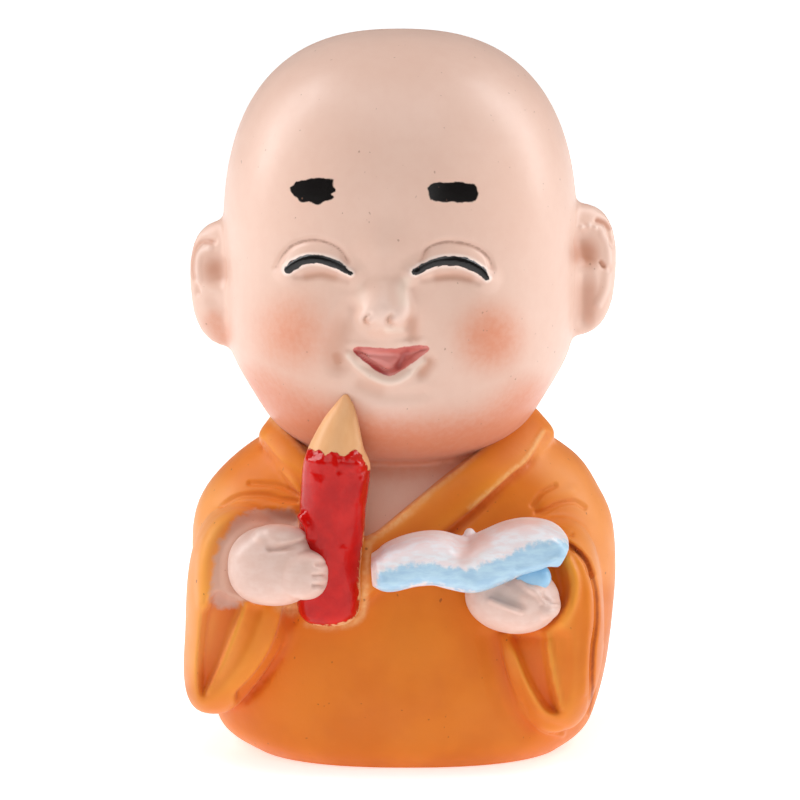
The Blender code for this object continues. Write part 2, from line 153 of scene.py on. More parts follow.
# %% [markdown]
# ## Lumps of clay
#
# A lump starts as a cube, because a cube whose faces are divided and pushed out to a ball has even
# faces and no crowded poles, as a globe has. A rule then says how far the skin lies in each
# direction. One rule makes squarish eggs, and another makes turned forms from a list of levels.

# %% Reading and moving the points of a mesh
def points_of(piece):
    flat = np.empty(len(piece.data.vertices) * 3, np.float32)
    piece.data.vertices.foreach_get("co", flat)
    return flat.reshape(-1, 3).astype(float) / PART


def normals_of(piece):
    flat = np.empty(len(piece.data.vertices) * 3, np.float32)
    piece.data.vertex_normals.foreach_get("vector", flat)
    return flat.reshape(-1, 3).astype(float)


def put_points(piece, points):
    piece.data.vertices.foreach_set("co", np.asarray(points * PART, np.float32).ravel())
    piece.data.update()


def only(*pieces):
    """Selects these pieces alone, and makes the first one active."""
    bpy.ops.object.select_all(action="DESELECT")
    for piece in pieces:
        piece.select_set(True)
    bpy.context.view_layer.objects.active = pieces[0]


def ball(rows):
    bpy.ops.object.select_all(action="DESELECT")
    bpy.ops.mesh.primitive_cube_add(size=2)
    lump = bpy.context.object
    bpy.ops.object.mode_set(mode="EDIT")
    bpy.ops.mesh.select_all(action="SELECT")
    bpy.ops.mesh.subdivide(number_cuts=rows - 1)
    bpy.ops.object.mode_set(mode="OBJECT")
    points = np.tan(points_of(lump) * PART * math.pi / 4)
    return lump, points / np.linalg.norm(points, axis=1)[:, None]


def turned_about(points, lean=0.0, turn=0.0, nod=0.0):
    """Points nodded about X, leaned about Y and then turned about the upright, in degrees."""
    x, y, z = points.T
    c, s = math.cos(math.radians(nod)), math.sin(math.radians(nod))
    y, z = y * c - z * s, y * s + z * c
    c, s = math.cos(math.radians(lean)), math.sin(math.radians(lean))
    x, z = x * c + z * s, z * c - x * s
    c, s = math.cos(math.radians(turn)), math.sin(math.radians(turn))
    return np.column_stack([x * c - y * s, x * s + y * c, z])


def egg(middle, radii, squareness=2.0, rows=32, **angles):
    lump, directions = ball(rows)
    size = (np.abs(directions / radii) ** squareness).sum(1) ** (-1 / squareness)
    put_points(lump, turned_about(directions * size[:, None], **angles) + middle)
    return lump


def turned_form(levels, plan, rows):
    """A form whose level sections are squarish rings: height, half width, front, back, shifts."""
    lump, directions = ball(rows)
    polar = np.arccos(np.clip(-directions[:, 2], -1, 1)) / math.pi
    z, side, front, back, shift, lean = smooth_through(levels, (len(levels) - 1) * polar).T
    around = np.arctan2(directions[:, 1], directions[:, 0])
    c, s = np.cos(around), np.sin(around)
    size = (np.abs(c) ** plan + np.abs(s) ** plan) ** (-1 / plan)
    depth = np.where(s < 0, front, back)
    put_points(lump, np.column_stack([c * size * side + shift, s * size * depth + lean, z]))
    return lump


# %% Melting lumps into one skin
def apply_modifier(piece, kind, **settings):
    only(piece)
    bpy.ops.object.modifier_add(type=kind)
    modifier = piece.modifiers[-1]
    for name, value in settings.items():
        setattr(modifier, name, value)
    bpy.ops.object.modifier_apply(modifier=modifier.name)


def melt(name, lumps, grain, passes):
    """One closed skin around all the lumps, with even faces as wide as the grain, in parts."""
    only(*lumps)
    if len(lumps) > 1:
        bpy.ops.object.join()
    piece = bpy.context.object
    piece.name = piece.data.name = name
    apply_modifier(piece, "REMESH", mode="VOXEL", voxel_size=grain * PART)
    apply_modifier(piece, "SMOOTH", factor=0.5, iterations=passes)
    bpy.ops.object.shade_smooth()
    print(name, "has", len(piece.data.polygons), "faces after melting")
    return piece


def refine(piece, chosen):
    """Divides the faces whose centres are chosen, so that fine strokes have points to move."""
    centres = np.empty(len(piece.data.polygons) * 3, np.float32)
    piece.data.polygons.foreach_get("center", centres)
    picked = chosen(centres.reshape(-1, 3).astype(float) / PART)
    only(piece)
    bpy.ops.object.mode_set(mode="EDIT")
    bpy.ops.mesh.select_mode(type="FACE")
    bpy.ops.mesh.select_all(action="DESELECT")
    bpy.ops.object.mode_set(mode="OBJECT")
    piece.data.polygons.foreach_set("select", picked)
    bpy.ops.object.mode_set(mode="EDIT")
    bpy.ops.mesh.subdivide(number_cuts=1, quadcorner="INNERVERT")
    bpy.ops.mesh.select_all(action="DESELECT")
    bpy.ops.object.mode_set(mode="OBJECT")
    bpy.ops.object.shade_smooth()
    print(piece.name, "has", len(piece.data.polygons), "faces after refining")


# %% [markdown]
# ## The brush
#
# Sculpt Mode has brushes, but a script can't hold one. A brush is simple, though: every point near
# the stroke moves along its normal, fully on the stroke and less towards its edge. Only points
# that face the viewer move, or a stroke on the face would also mark the back of the head.

# %% Strokes that raise or sink the skin
def carve(piece, path, reach, height, end_reach=None, flat=0.0, straight=False):
    """The reach is the stroke's half width at its start, and flat the share that moves in full."""
    points, normals = points_of(piece), normals_of(piece)
    places = seen(points)
    end_reach = reach if end_reach is None else end_reach
    widest = max(reach, end_reach)
    path = np.asarray(path, float)
    near = ((places > path.min(0) - widest - 0.5) & (places < path.max(0) + widest + 0.5)).all(1)
    near &= normals @ EYE_BACK < 0
    distance, share = along_path(places[near], path)
    lift = height * (1 - step(flat, 1, distance / (reach + (end_reach - reach) * share)))
    lift *= step(0.0, FACING, -normals[near] @ EYE_BACK)
    way = -EYE_BACK if straight else normals[near]
    points[near] += way * lift[:, None]
    put_points(piece, points)


def press(piece, outline, depth, edge):
    """Sinks the front skin inside an outline straight away from the viewer, with a soft edge."""
    points, normals = points_of(piece), normals_of(piece)
    drop = depth * step(0, edge, inside(seen(points), outline))
    drop *= step(0.0, FACING, -normals @ EYE_BACK) * step(0.0, 2.0, -points[:, 1])
    put_points(piece, points + EYE_BACK * drop[:, None])


# %% [markdown]
# ## The head
#
# The head is a squarish egg, wider at the jaw than a real one, with small flat ears and a short
# neck that runs down into the open collar. A sphere would look like a ball on a bell, so the rule
# for the head has its own squareness for the crown, for the jaw, and for the section seen from
# above. Head, ears and chest are melted together, because on the casting they are one skin.

# %% Head, ears and chest as lumps
HEAD_MIDDLE = np.array((-0.22, -0.4, 38.2))
HEAD_SIDE, HEAD_DEPTH, HEAD_RISE, HEAD_DROP = 13.25, 12.7, 15.8, 16.2
HEAD_PLAN, CROWN_CURVE, JAW_CURVE = 2.2, 2.55, 3.1
JAW_NARROWING, NAPE_NARROWING = 0.065, 0.22
SKIN_GRAIN = 0.27


def head_lump():
    lump, d = ball(72)
    upright = np.where(d[:, 2] > 0, HEAD_RISE, HEAD_DROP)
    curve = np.where(d[:, 2] > 0, CROWN_CURVE, JAW_CURVE)
    plan = (np.abs(d[:, 0]) / HEAD_SIDE) ** HEAD_PLAN + (np.abs(d[:, 1]) / HEAD_DEPTH) ** HEAD_PLAN
    size = (plan ** (curve / HEAD_PLAN) + (np.abs(d[:, 2]) / upright) ** curve) ** (-1 / curve)
    points = d * size[:, None]
    drop = -points[:, 2] / HEAD_DROP
    points[:, 0] *= 1 - JAW_NARROWING * step(0.45, 0.75, drop)
    points[:, 1] *= np.where(points[:, 1] > 0, 1 - NAPE_NARROWING * step(0.1, 1.0, drop), 1)
    put_points(lump, points + HEAD_MIDDLE)
    return lump


EAR_RADII = (3.4, 1.7)
left_ear = egg((-12.75, -1.4, 35.15), (*EAR_RADII, 4.8), squareness=2.6, turn=-28, lean=-3)
right_ear = egg((12.75, -1.4, 36.2), (*EAR_RADII, 5.0), squareness=2.6, turn=28, lean=3)
CHEST_LEVELS = [
    (z, side, front, 4.0, 0.0, 0.0)
    for z, side, front in (
        (13.0, 0.0, 0.0),
        (13.2, 6.0, 7.5),
        (15.0, 9.5, 8.9),
        (17.0, 10.5, 8.55),
        (19.3, 11.0, 7.7),
        (21.5, 11.2, 6.6),
        (23.4, 9.9, 5.15),
        (25.2, 7.4, 3.9),
        (26.0, 0.0, 0.0),
    )
]
chest = turned_form(CHEST_LEVELS, 2.35, 40)
head = melt("head", [head_lump(), left_ear, right_ear, chest], SKIN_GRAIN, 6)

# %% [markdown]
# ## The face
#
# Cheeks, nose and chin are broad soft strokes. The smile, the lids, the nostrils and the grooves of
# the ears need finer faces than the rest of the head, so only the front of the face and the ears
# are divided once more. That keeps the whole head light and still gives a crisp line where the
# paint will meet it.

# %% Broad forms of the face
for across, up in ((-7.7, 30.9), (6.5, 30.5)):
    carve(head, [(across, up)], 6.0, 0.55)
carve(head, [(-1.4, 25.0)], 4.5, 0.5)
carve(head, [(-1.3, 36.5), (-1.4, 33.0)], 3.2, 0.45)
carve(head, [(-1.4, 32.4)], 2.8, 1.25)
for across in (-2.8, -0.1):
    carve(head, [(across, 31.9)], 1.1, 0.28)


def on_face(centres):
    places = seen(centres)
    face = (places[:, 0] > -10.4) & (places[:, 0] < 8.4) & (places[:, 1] > 26) & (places[:, 1] < 38.6)
    ears = (np.abs(places[:, 0]) > 12.2) & (places[:, 1] > 29) & (places[:, 1] < 41)
    return (face & (centres[:, 1] < -6)) | (ears & (centres[:, 1] < 1.5))


refine(head, on_face)

# %% The smile
SMILE = (
    (-3.75, 29.5), (-3.1, 29.65), (-1.1, 29.5), (0.3, 29.65), (1.3, 29.75), (1.85, 29.68), (2.0, 29.4),
    (1.5, 29.0), (0.85, 28.5), (0.2, 28.05), (-0.4, 27.65), (-1.0, 27.45), (-1.7, 27.65), (-2.4, 28.1),
    (-3.1, 28.65), (-3.65, 29.15),
)
press(head, SMILE, 0.55, 0.5)
carve(head, [(-2.8, 28.95), (-1.9, 28.7), (-1.1, 28.5)], 0.9, 0.3)
carve(head, [(-1.3, 28.2), (-0.9, 27.9)], 0.6, 0.12)
carve(head, [(0.1, 29.1), (-0.1, 28.6), (-0.3, 28.2)], 0.35, -0.12)
carve(head, [(0.5, 28.5), (1.3, 29.2)], 0.6, 0.14)
LOWER_LIP = ((-4.1, 28.9), (-3.4, 28.2), (-2.4, 27.45), (-1.3, 27.0), (-0.3, 27.1), (0.6, 27.7), (1.5, 28.5))
carve(head, LOWER_LIP, 0.6, 0.25)
carve(head, [(-4.2, 29.8), (-1.0, 29.9), (1.7, 30.1)], 0.4, 0.06)
for path, reach, depth in (
    ([(-4.1, 32.4), (-4.8, 30.8), (-5.15, 29.3), (-5.0, 28.3)], 1.3, -0.26),
    ([(-5.1, 29.1), (-4.95, 28.5)], 0.8, -0.1),
    ([(0.65, 32.0), (0.75, 30.3)], 0.9, -0.18),
    ([(1.9, 28.5), (1.4, 27.7)], 0.9, -0.2),
    ([(-3.4, 26.7), (-2.0, 26.1), (-0.4, 25.9), (1.6, 26.1)], 0.8, -0.14),
):
    carve(head, path, reach, depth)

# %% The nose
NOSTRILS = (
    ((-2.6, 32.0), (-2.9, 31.75), (-2.85, 31.4), (-2.6, 31.25)),
    ((-0.85, 32.0), (-1.15, 31.75), (-1.1, 31.4), (-0.85, 31.25)),
)
for nostril in NOSTRILS:
    carve(head, nostril, 0.3, -0.2)
    carve(head, [(nostril[0][0] + 0.15, 31.65)], 0.4, 0.12)
carve(head, [(-2.5, 31.0), (-2.0, 30.95)], 0.35, 0.08)
carve(head, [(-1.2, 30.85), (-0.2, 30.9), (0.15, 30.75)], 0.35, 0.1)
carve(head, [(0.4, 35.0), (-0.05, 33.9), (0.3, 32.3)], 0.9, 0.22)

# %% [markdown]
# ## Closed eyes
#
# Each eye is shut in a smile: a low lid, a groove where the lid folds, and a thick black line of
# paint for the lashes. The line stands proud, because the casting has a small ledge there and the
# paint on it is thick.

# %% Lids, folds and lashes
LASHES = (
    ((-8.63, 35.4), (-8.1, 35.8), (-7.35, 36.13), (-6.5, 36.2), (-5.5, 36.02), (-4.75, 35.65),
      (-3.9, 35.1)),
    ((0.9, 35.25), (1.6, 35.6), (2.5, 35.96), (3.3, 36.08), (4.2, 36.02), (5.05, 35.77), (5.8, 35.33),
      (6.3, 34.8)),
)
FOLDS = (
    ((-9.55, 35.6), (-9.0, 36.5), (-8.25, 37.25), (-7.0, 37.63), (-5.8, 37.48), (-4.75, 36.9),
      (-4.1, 35.95)),
    ((1.4, 36.1), (1.75, 36.9), (2.5, 37.33), (3.6, 37.5), (4.8, 37.33), (5.8, 36.9), (6.45, 36.25),
      (6.7, 35.5)),
)
UNDER_LASHES = (
    ((-8.1, 34.93), (-7.2, 34.95), (-6.2, 35.1), (-5.2, 34.9), (-4.1, 34.55)),
    ((1.5, 34.6), (2.6, 34.85), (3.9, 34.95), (5.0, 34.75), (5.7, 34.45)),
)
for lash, fold, under in zip(LASHES, FOLDS, UNDER_LASHES):
    carve(head, lash, 1.4, 0.28)
    carve(head, fold, 0.4, -0.18)
    carve(head, lash, 0.42, 0.2, flat=0.45)
    carve(head, under, 0.4, -0.12)

# %% The ears
for path, reach, height in (
    ([(-14.2, 37.5), (-15.1, 37.6), (-15.65, 36.8), (-15.75, 35.8), (-15.65, 34.5),
      (-15.4, 33.7)], 0.4, -0.25),
    ([(-14.5, 37.0), (-15.2, 36.6), (-15.4, 35.7), (-15.3, 34.6)], 0.4, 0.18),
    ([(-14.0, 35.8), (-13.9, 34.9)], 1.2, -0.4),
    ([(-14.2, 33.0), (-13.6, 32.2)], 0.9, -0.15),
    ([(14.6, 39.1), (15.1, 38.9), (15.45, 38.5), (15.6, 37.3)], 0.35, -0.3),
    ([(13.4, 38.5)], 0.4, 0.22),
    ([(13.9, 38.7)], 0.35, 0.2),
    ([(14.4, 38.55)], 0.3, 0.16),
    ([(14.9, 38.2), (15.3, 37.2), (15.4, 36.0)], 0.35, 0.16),
    ([(13.7, 37.5), (13.9, 36.4)], 1.3, -0.5),
    ([(14.85, 35.95), (15.05, 35.65)], 0.28, -0.25),
    ([(13.75, 35.0), (13.75, 33.2), (13.7, 31.5)], 0.8, -0.3),
    ([(15.3, 35.1), (15.1, 33.9), (14.6, 32.8)], 0.5, 0.2),
):
    carve(head, path, reach, height)
print("head:", len(head.data.vertices), "points")

# %% [markdown]
# ## The robe
#
# The robe is a bell: a turned form that leans back a little at the shoulders. The sleeves are deep
# eggs that hang open below the wrists, and the collar is a band that lies on the bell in front and
# stands around the neck behind. They could be separate pieces, but the casting shows them grown
# together with soft creases, so they are melted too.

# %% The bell of the robe
ROBE_PLAN = 2.35
ROBE_LEVELS = [
    (z, side, front, back, shift, 0.0)
    for z, side, front, back, shift in (
        (-0.8, 0.0, 0.0, 0.0, 0.1),
        (-0.8, 9.8, 8.6, 8.6, 0.35),
        (0.0, 11.8, 9.9, 9.6, 0.35),
        (1.3, 13.7, 10.8, 10.4, 0.15),
        (3.0, 14.5, 11.1, 10.8, 0.15),
        (6.0, 15.2, 11.1, 11.0, 0.2),
        (10.0, 15.7, 10.6, 11.0, 0.2),
        (13.6, 16.0, 9.8, 10.6, 0.1),
        (17.0, 15.8, 8.9, 9.9, 0.0),
        (19.3, 14.85, 8.0, 9.1, -0.05),
        (21.5, 13.15, 6.9, 8.0, 0.2),
        (23.4, 10.6, 5.4, 6.6, 0.2),
        (26.0, 6.5, 3.6, 4.8, 0.15),
        (27.0, 0.0, 0.0, 0.0, 0.15),
    )
]
bell = turned_form(ROBE_LEVELS, ROBE_PLAN, 72)


# %% [markdown]
# The collar follows the bell. A ray from the viewer through each point of its line on the drawing
# finds where it lies on the bell, and behind the neck its points are simply given. A flat ring is
# swept along that route, turned so that its broad side faces outwards.

# %% The two halves of the collar
def band(name, centres, outward, half_width, half_thickness, squareness, sides=24):
    """A closed flat strip along a route: one ring of points after another, joined by faces."""
    forward = np.gradient(centres, axis=0)
    forward /= np.linalg.norm(forward, axis=1)[:, None]
    across = np.cross(forward, outward)
    across /= np.linalg.norm(across, axis=1)[:, None]
    out = np.cross(across, forward)
    angles = np.arange(sides) * 2 * math.pi / sides
    c, s = np.cos(angles), np.sin(angles)
    size = (np.abs(c) ** squareness + np.abs(s) ** squareness) ** (-1 / squareness)
    widths = np.broadcast_to(half_width, len(centres))
    thicknesses = np.broadcast_to(half_thickness, len(centres))
    rings = [
        centre + np.outer(c * size * w, side) + np.outer(s * size * t, face)
        for centre, side, face, w, t in zip(centres, across, out, widths, thicknesses)
    ]
    faces = [list(range(sides))]
    for ring in range(len(rings) - 1):
        first = ring * sides
        for k in range(sides):
            after = (k + 1) % sides
            faces.append([first + k, first + after, first + sides + after, first + sides + k])
    faces.append(list(range((len(rings) - 1) * sides, len(rings) * sides)))
    mesh = bpy.data.meshes.new(name)
    mesh.from_pydata((np.vstack(rings) * PART).tolist(), [], faces)
    piece = bpy.data.objects.new(name, mesh)
    bpy.context.scene.collection.objects.link(piece)
    only(piece)
    bpy.ops.object.mode_set(mode="EDIT")
    bpy.ops.mesh.select_all(action="SELECT")
    bpy.ops.mesh.normals_make_consistent(inside=False)
    bpy.ops.object.mode_set(mode="OBJECT")
    return piece


BEHIND_NECK = ((9.0, 2.0), (5.2, 7.2), (0.0, 8.6))
COLLAR = {
    -1: (((-2.6, 14.0), (-4.6, 16.2), (-7.0, 19.3), (-8.6, 21.5), (-9.5, 22.9)), 1.2, 23.8),
    1: (((-4.6, 11.0), (-1.2, 14.2), (1.4, 16.4), (3.6, 18.1), (6.3, 20.2), (9.7, 23.2)), 1.6, 24.0),
}


def collar_half(side):
    drawn, half_width, neck_height = COLLAR[side]
    faces = [face.vertices[:] for face in bell.data.polygons]
    surface = BVHTree.FromPolygons(points_of(bell).tolist(), faces)
    centres, outward = [], []
    for across, up in drawn:
        sight = Vector(at(across, up, 0) - EYE).normalized()
        hit, normal, _, _ = surface.ray_cast(Vector(EYE), sight)
        centres.append(hit + normal * 0.3)
        outward.append(normal)
    for across, y in BEHIND_NECK:
        centres.append((side * across, y, neck_height))
        outward.append(Vector((side * across, y - 1.0, 2.0)).normalized())
    rows = np.linspace(0, len(centres) - 1, 10 * len(centres))
    return band(
        "collar", smooth_through(centres, rows), smooth_through(outward, rows), half_width, 0.85, 3.0
    )


# %% Sleeves that hang open
def sleeve(middle, radii, lean, narrowing, swing, cuff):
    """A deep egg that narrows and swings outwards as it hangs, pressed in where the wrist sits."""
    lump = egg(middle, radii, squareness=2.8, lean=lean, rows=40)
    points = points_of(lump)
    hang = step(0.1, 1.0, (middle[2] - points[:, 2]) / radii[2])
    points[:, 0] = middle[0] + (points[:, 0] - middle[0]) * (1 - narrowing * hang) + swing * hang
    put_points(lump, points)
    carve(lump, [cuff], 4.2, -1.3, straight=True)
    return lump


left_sleeve = sleeve((-12.1, -6.3, 11.3), (4.1, 6.1, 7.7), 2, 0.3, -1.9, (-10.2, 13.4))
right_sleeve = sleeve((11.0, -6.2, 10.3), (4.0, 6.0, 8.0), -1, 0.28, 0.5, (8.6, 10.8))
CLOTH_GRAIN = 0.23
lumps = [bell, collar_half(-1), collar_half(1), left_sleeve, right_sleeve]
robe = melt("robe", lumps, CLOTH_GRAIN, 10)

# %% [markdown]
# ## Folds of the robe
#
# The carved folds are strokes again, and each is a fold that the casting shows: the mouth of each
# sleeve with the ridge of cloth inside it, the crease between sleeve and belly, and a few shallow
# arcs on the shoulders. Straight strokes push along the line of sight, which keeps the rim of the
# sleeve as wide as it was drawn.

# %% The mouths of the sleeves
INNER_CLOTH = (
    ((-14.9, 10.9), (-10.5, 10.4), (-10.8, 8.2), (-11.6, 6.4), (-12.8, 4.6), (-14.3, 3.1),
      (-15.5, 3.2), (-15.6, 7.0)),
    ((7.9, 8.4), (12.4, 8.6), (13.0, 6.4), (13.0, 4.2), (12.5, 2.4), (11.6, 1.6), (10.3, 2.6), (8.9, 5.4)),
)
SLEEVE_MOUTHS = (
    ((-14.7, 11.0), (-12.0, 10.6), (-12.8, 7.6), (-13.9, 4.8), (-14.9, 3.3), (-15.5, 4.0), (-15.5, 7.0)),
    ((7.9, 8.3), (10.8, 8.3), (11.0, 6.8), (11.4, 4.6), (11.9, 2.2), (10.6, 2.2), (9.3, 4.1), (8.4, 6.2)),
)
CLOTH_EDGES = (
    ((-11.8, 10.3), (-12.4, 8.6), (-13.35, 6.3), (-14.1, 4.8), (-14.6, 3.8)),
    ((10.85, 8.0), (11.0, 6.9), (11.3, 5.2), (11.6, 3.8), (11.85, 2.6)),
)
for cloth, mouth, edge in zip(INNER_CLOTH, SLEEVE_MOUTHS, CLOTH_EDGES):
    press(robe, cloth, 0.35, 0.9)
    press(robe, mouth, 0.85, 0.7)
    carve(robe, edge, 0.4, 0.25, straight=True)
BESIDE_PALM = ((11.0, 14.4), (11.7, 12.4), (11.9, 10.9), (11.2, 9.6), (10.3, 8.6))
carve(robe, BESIDE_PALM, 1.0, -0.8, 0.7, straight=True)

# %% Creases and folds
for path, reach, height in (
    ([(-8.4, 9.9), (-8.9, 8.1), (-9.6, 6.4), (-10.8, 4.6), (-12.0, 3.4)], 0.8, -0.5),
    ([(-8.3, 17.5), (-11.4, 17.5), (-13.3, 16.7), (-14.6, 15.0), (-15.0, 12.6), (-14.9, 10.4)], 0.8, 0.25),
    ([(-8.3, 16.6), (-10.9, 16.9), (-12.6, 16.1), (-13.65, 14.6), (-14.0, 12.6),
      (-13.8, 10.9)], 0.8, -0.35),
    ([(10.6, 17.9), (11.6, 18.5), (12.6, 18.8)], 0.8, 0.15),
    ([(13.0, 14.2), (13.6, 12.6), (13.9, 11.2), (13.9, 9.0), (13.7, 7.1), (13.6, 5.2),
      (13.5, 3.7)], 0.45, 0.14),
    ([(12.4, 13.6), (12.9, 12.2), (12.7, 10.4), (12.0, 9.0)], 0.6, 0.25),
    ([(7.5, 7.9), (7.9, 6.0), (8.5, 4.0), (9.1, 2.4), (10.3, 1.2), (11.8, 0.7)], 0.55, 0.32),
    ([(6.3, 7.8), (6.9, 5.0), (7.6, 2.6), (9.2, 0.7)], 1.1, -0.15),
    ([(10.8, 23.0), (9.6, 21.0), (8.5, 20.0), (7.2, 18.9), (5.4, 17.2), (3.4, 15.4)], 0.45, -0.25),
    ([(10.5, 23.3), (9.2, 21.2), (8.1, 20.3), (6.9, 19.2), (5.0, 17.5)], 0.3, 0.12),
    ([(-10.6, 22.3), (-9.45, 21.0), (-8.3, 20.2), (-7.6, 19.6), (-7.2, 18.0)], 0.45, -0.22),
):
    carve(robe, path, reach, height)

# %% [markdown]
# A few lines are as thin as a hair: the seam where the right sleeve meets the body, and small folds
# on both shoulders. Faces as wide as the clay's grain can't hold them, so only the faces near these
# lines are divided, and then the lines are cut.

# %% Thin folds and the sleeve's seam
SLEEVE_SEAM = (
    (12.1, 15.0), (13.0, 14.4), (13.75, 13.6), (14.15, 12.65), (14.5, 11.15), (14.55, 9.0),
    (14.3, 7.1), (14.2, 5.25), (14.2, 3.75), (14.0, 2.15),
)
THIN_FOLDS = (
    ((-13.6, 17.65), (-12.8, 18.2), (-11.85, 18.5), (-10.35, 18.5), (-9.1, 18.2), (-8.0, 18.05)),
    ((-11.5, 19.4), (-9.6, 19.3), (-8.7, 18.95), (-7.95, 18.5)),
    ((11.4, 19.25), (10.4, 18.7), (9.7, 17.75)),
    ((13.65, 17.6), (12.9, 18.0), (11.8, 17.85), (10.65, 17.3), (10.0, 17.2)),
    ((11.5, 15.9), (12.1, 15.8), (12.65, 15.6)),
)
NEAR_A_FOLD = 0.6


def near_folds(centres):
    places = seen(centres)
    gaps = [along_path(places, fold)[0] for fold in (SLEEVE_SEAM, *THIN_FOLDS)]
    return (np.min(gaps, axis=0) < NEAR_A_FOLD) & (centres[:, 1] < 0)


refine(robe, near_folds)
carve(robe, SLEEVE_SEAM[:4], 0.4, -0.5)
carve(robe, SLEEVE_SEAM, 0.28, -0.45)
for fold in THIN_FOLDS:
    carve(robe, fold, 0.32, -0.2)

# %% The neck opening and the flat underside
NECK_OPENING = (
    (-9.3, 25.6), (-6.9, 22.6), (-5.9, 19.6), (-4.2, 16.8), (-3.0, 15.1), (-2.2, 15.4), (0.1, 17.2),
    (2.5, 19.3), (4.6, 21.0), (6.6, 22.9), (8.0, 24.2), (9.0, 25.8), (5.0, 28.0), (-5.0, 28.0),
)
press(robe, NECK_OPENING, 2.2, 0.5)


def cut_flat(piece):
    """Cuts a piece off at the ground and closes the cut."""
    only(piece)
    bpy.ops.object.mode_set(mode="EDIT")
    bpy.ops.mesh.select_all(action="SELECT")
    ground = {"plane_co": (0, 0, 0), "plane_no": (0, 0, 1)}
    bpy.ops.mesh.bisect(**ground, clear_inner=True, use_fill=True, threshold=1e-6)
    bpy.ops.object.mode_set(mode="OBJECT")


cut_flat(robe)

# %% [markdown]
# ## The hands
#
# Both hands are mittens of clay: one egg for the palm and two for the thumb and the fingers, with a
# few cuts between the fingers. They are melted at a finer grain than the robe, because a finger is
# only about a part wide.

# %% The hand that grips the pencil
HAND_GRAIN = 0.13
grip_lumps = [
    egg(at(-9.7, 13.2, -12.0), (3.35, 3.1, 2.9), squareness=2.3, turn=-12),
    egg(at(-9.2, 15.1, -13.0), (2.1, 1.5, 1.15), squareness=2.3, lean=4),
    egg(at(-7.6, 12.6, -13.4), (1.95, 2.2, 1.85), squareness=2.5, lean=4),
]
gripping_hand = melt("gripping_hand", grip_lumps, HAND_GRAIN, 4)
for path, reach, height in (
    ([(-10.0, 14.45), (-8.8, 14.6), (-6.9, 15.15)], 0.38, -0.3),
    ([(-10.0, 14.8), (-10.5, 15.6)], 0.5, -0.08),
    ([(-6.5, 13.3), (-5.6, 13.35)], 0.25, -0.22),
    ([(-6.7, 12.45), (-5.5, 12.45)], 0.25, -0.26),
    ([(-6.7, 11.7), (-5.6, 11.65)], 0.25, -0.26),
    ([(-7.4, 13.6), (-6.4, 13.6)], 0.5, 0.12),
):
    carve(gripping_hand, path, reach, height)

# %% The hand under the book
palm_lumps = [
    egg(at(8.2, 10.8, -12.2), (3.5, 3.2, 2.6), squareness=2.05, lean=8),
    egg(at(10.6, 10.3, -12.4), (1.2, 2.6, 1.1), squareness=2.2, lean=-20),
    egg(at(9.4, 11.7, -13.0), (1.5, 2.0, 0.85), squareness=2.2, lean=-12),
]
open_hand = melt("open_hand", palm_lumps, HAND_GRAIN, 4)
for path, reach, height, end_reach in (
    ([(6.9, 11.1), (7.9, 10.75), (8.8, 10.3)], 1.0, -0.26, 0.7),
    ([(6.6, 10.6), (7.6, 10.2), (8.9, 9.75)], 0.35, 0.22, 0.3),
    ([(8.85, 12.0), (9.6, 11.4), (10.1, 11.0), (10.6, 10.3)], 0.4, 0.2, 0.3),
    ([(10.5, 10.85), (11.1, 10.55), (11.7, 10.5)], 0.2, -0.14, 0.2),
    ([(10.5, 10.2), (11.1, 10.0), (11.6, 10.15)], 0.2, -0.12, 0.2),
):
    carve(open_hand, path, reach, height, end_reach)

# %% [markdown]
# ## The pencil
#
# The pencil is a fat toy crayon with a sharpened point. It is a turned form like the robe, with its
# own levels, and it leans a little. Where the red stops, the paint stands up in a lumpy edge.

# %% Pencil form and lumps of paint
PENCIL_LEVELS = [
    (*at(centre, up, y)[[2]], 0.98 * half, 0.98 * half, half, centre, y)
    for up, centre, half, y in (
        (8.9, -5.5, 0.0, -11.3),
        (8.95, -5.5, 1.4, -11.3),
        (9.5, -5.5, 2.12, -11.3),
        (10.4, -5.48, 2.38, -11.32),
        (13.0, -5.45, 2.36, -11.4),
        (15.6, -5.25, 2.45, -11.5),
        (17.6, -5.15, 2.5, -11.6),
        (19.6, -4.95, 2.56, -11.7),
        (20.9, -4.88, 2.5, -11.75),
        (22.0, -4.92, 2.1, -11.8),
        (23.2, -4.75, 1.68, -11.85),
        (24.4, -4.52, 1.2, -11.87),
        (25.4, -4.3, 0.62, -11.9),
        (26.0, -4.2, 0.22, -11.9),
        (26.12, -4.2, 0.0, -11.9),
    )
]
pencil = melt("pencil", [turned_form(PENCIL_LEVELS, 2.1, 40)], HAND_GRAIN, 3)
for path, reach, height in (
    ([(-7.0, 21.1), (-6.1, 21.0), (-5.2, 20.9), (-4.2, 20.8), (-3.2, 20.9)], 0.7, 0.14),
    ([(-6.0, 20.8)], 0.9, 0.16),
    ([(-3.5, 20.8)], 0.8, 0.2),
    ([(-4.9, 21.2), (-4.7, 20.4)], 0.5, -0.16),
    ([(-3.1, 19.6), (-3.6, 18.0)], 0.5, 0.12),
    ([(-4.3, 19.8), (-4.1, 17.4), (-4.3, 15.0)], 0.9, -0.14),
    ([(-6.2, 19.4), (-6.4, 17.4)], 1.0, 0.1),
    ([(-7.5, 16.9), (-7.0, 16.1), (-6.9, 15.3)], 0.5, 0.4),
    ([(-3.9, 25.2), (-3.6, 23.5), (-3.3, 22.3)], 0.5, 0.12),
):
    carve(pencil, path, reach, height)

# %% [markdown]
# ## The open book
#
# The book is a thick slab that swells over both pages and dips at the spine. The band that made the
# collar makes it too: its route is that wave, and it grows thinner at both ends. Its ring is
# squarish with round corners, because paint fills sharp corners on so small a casting.

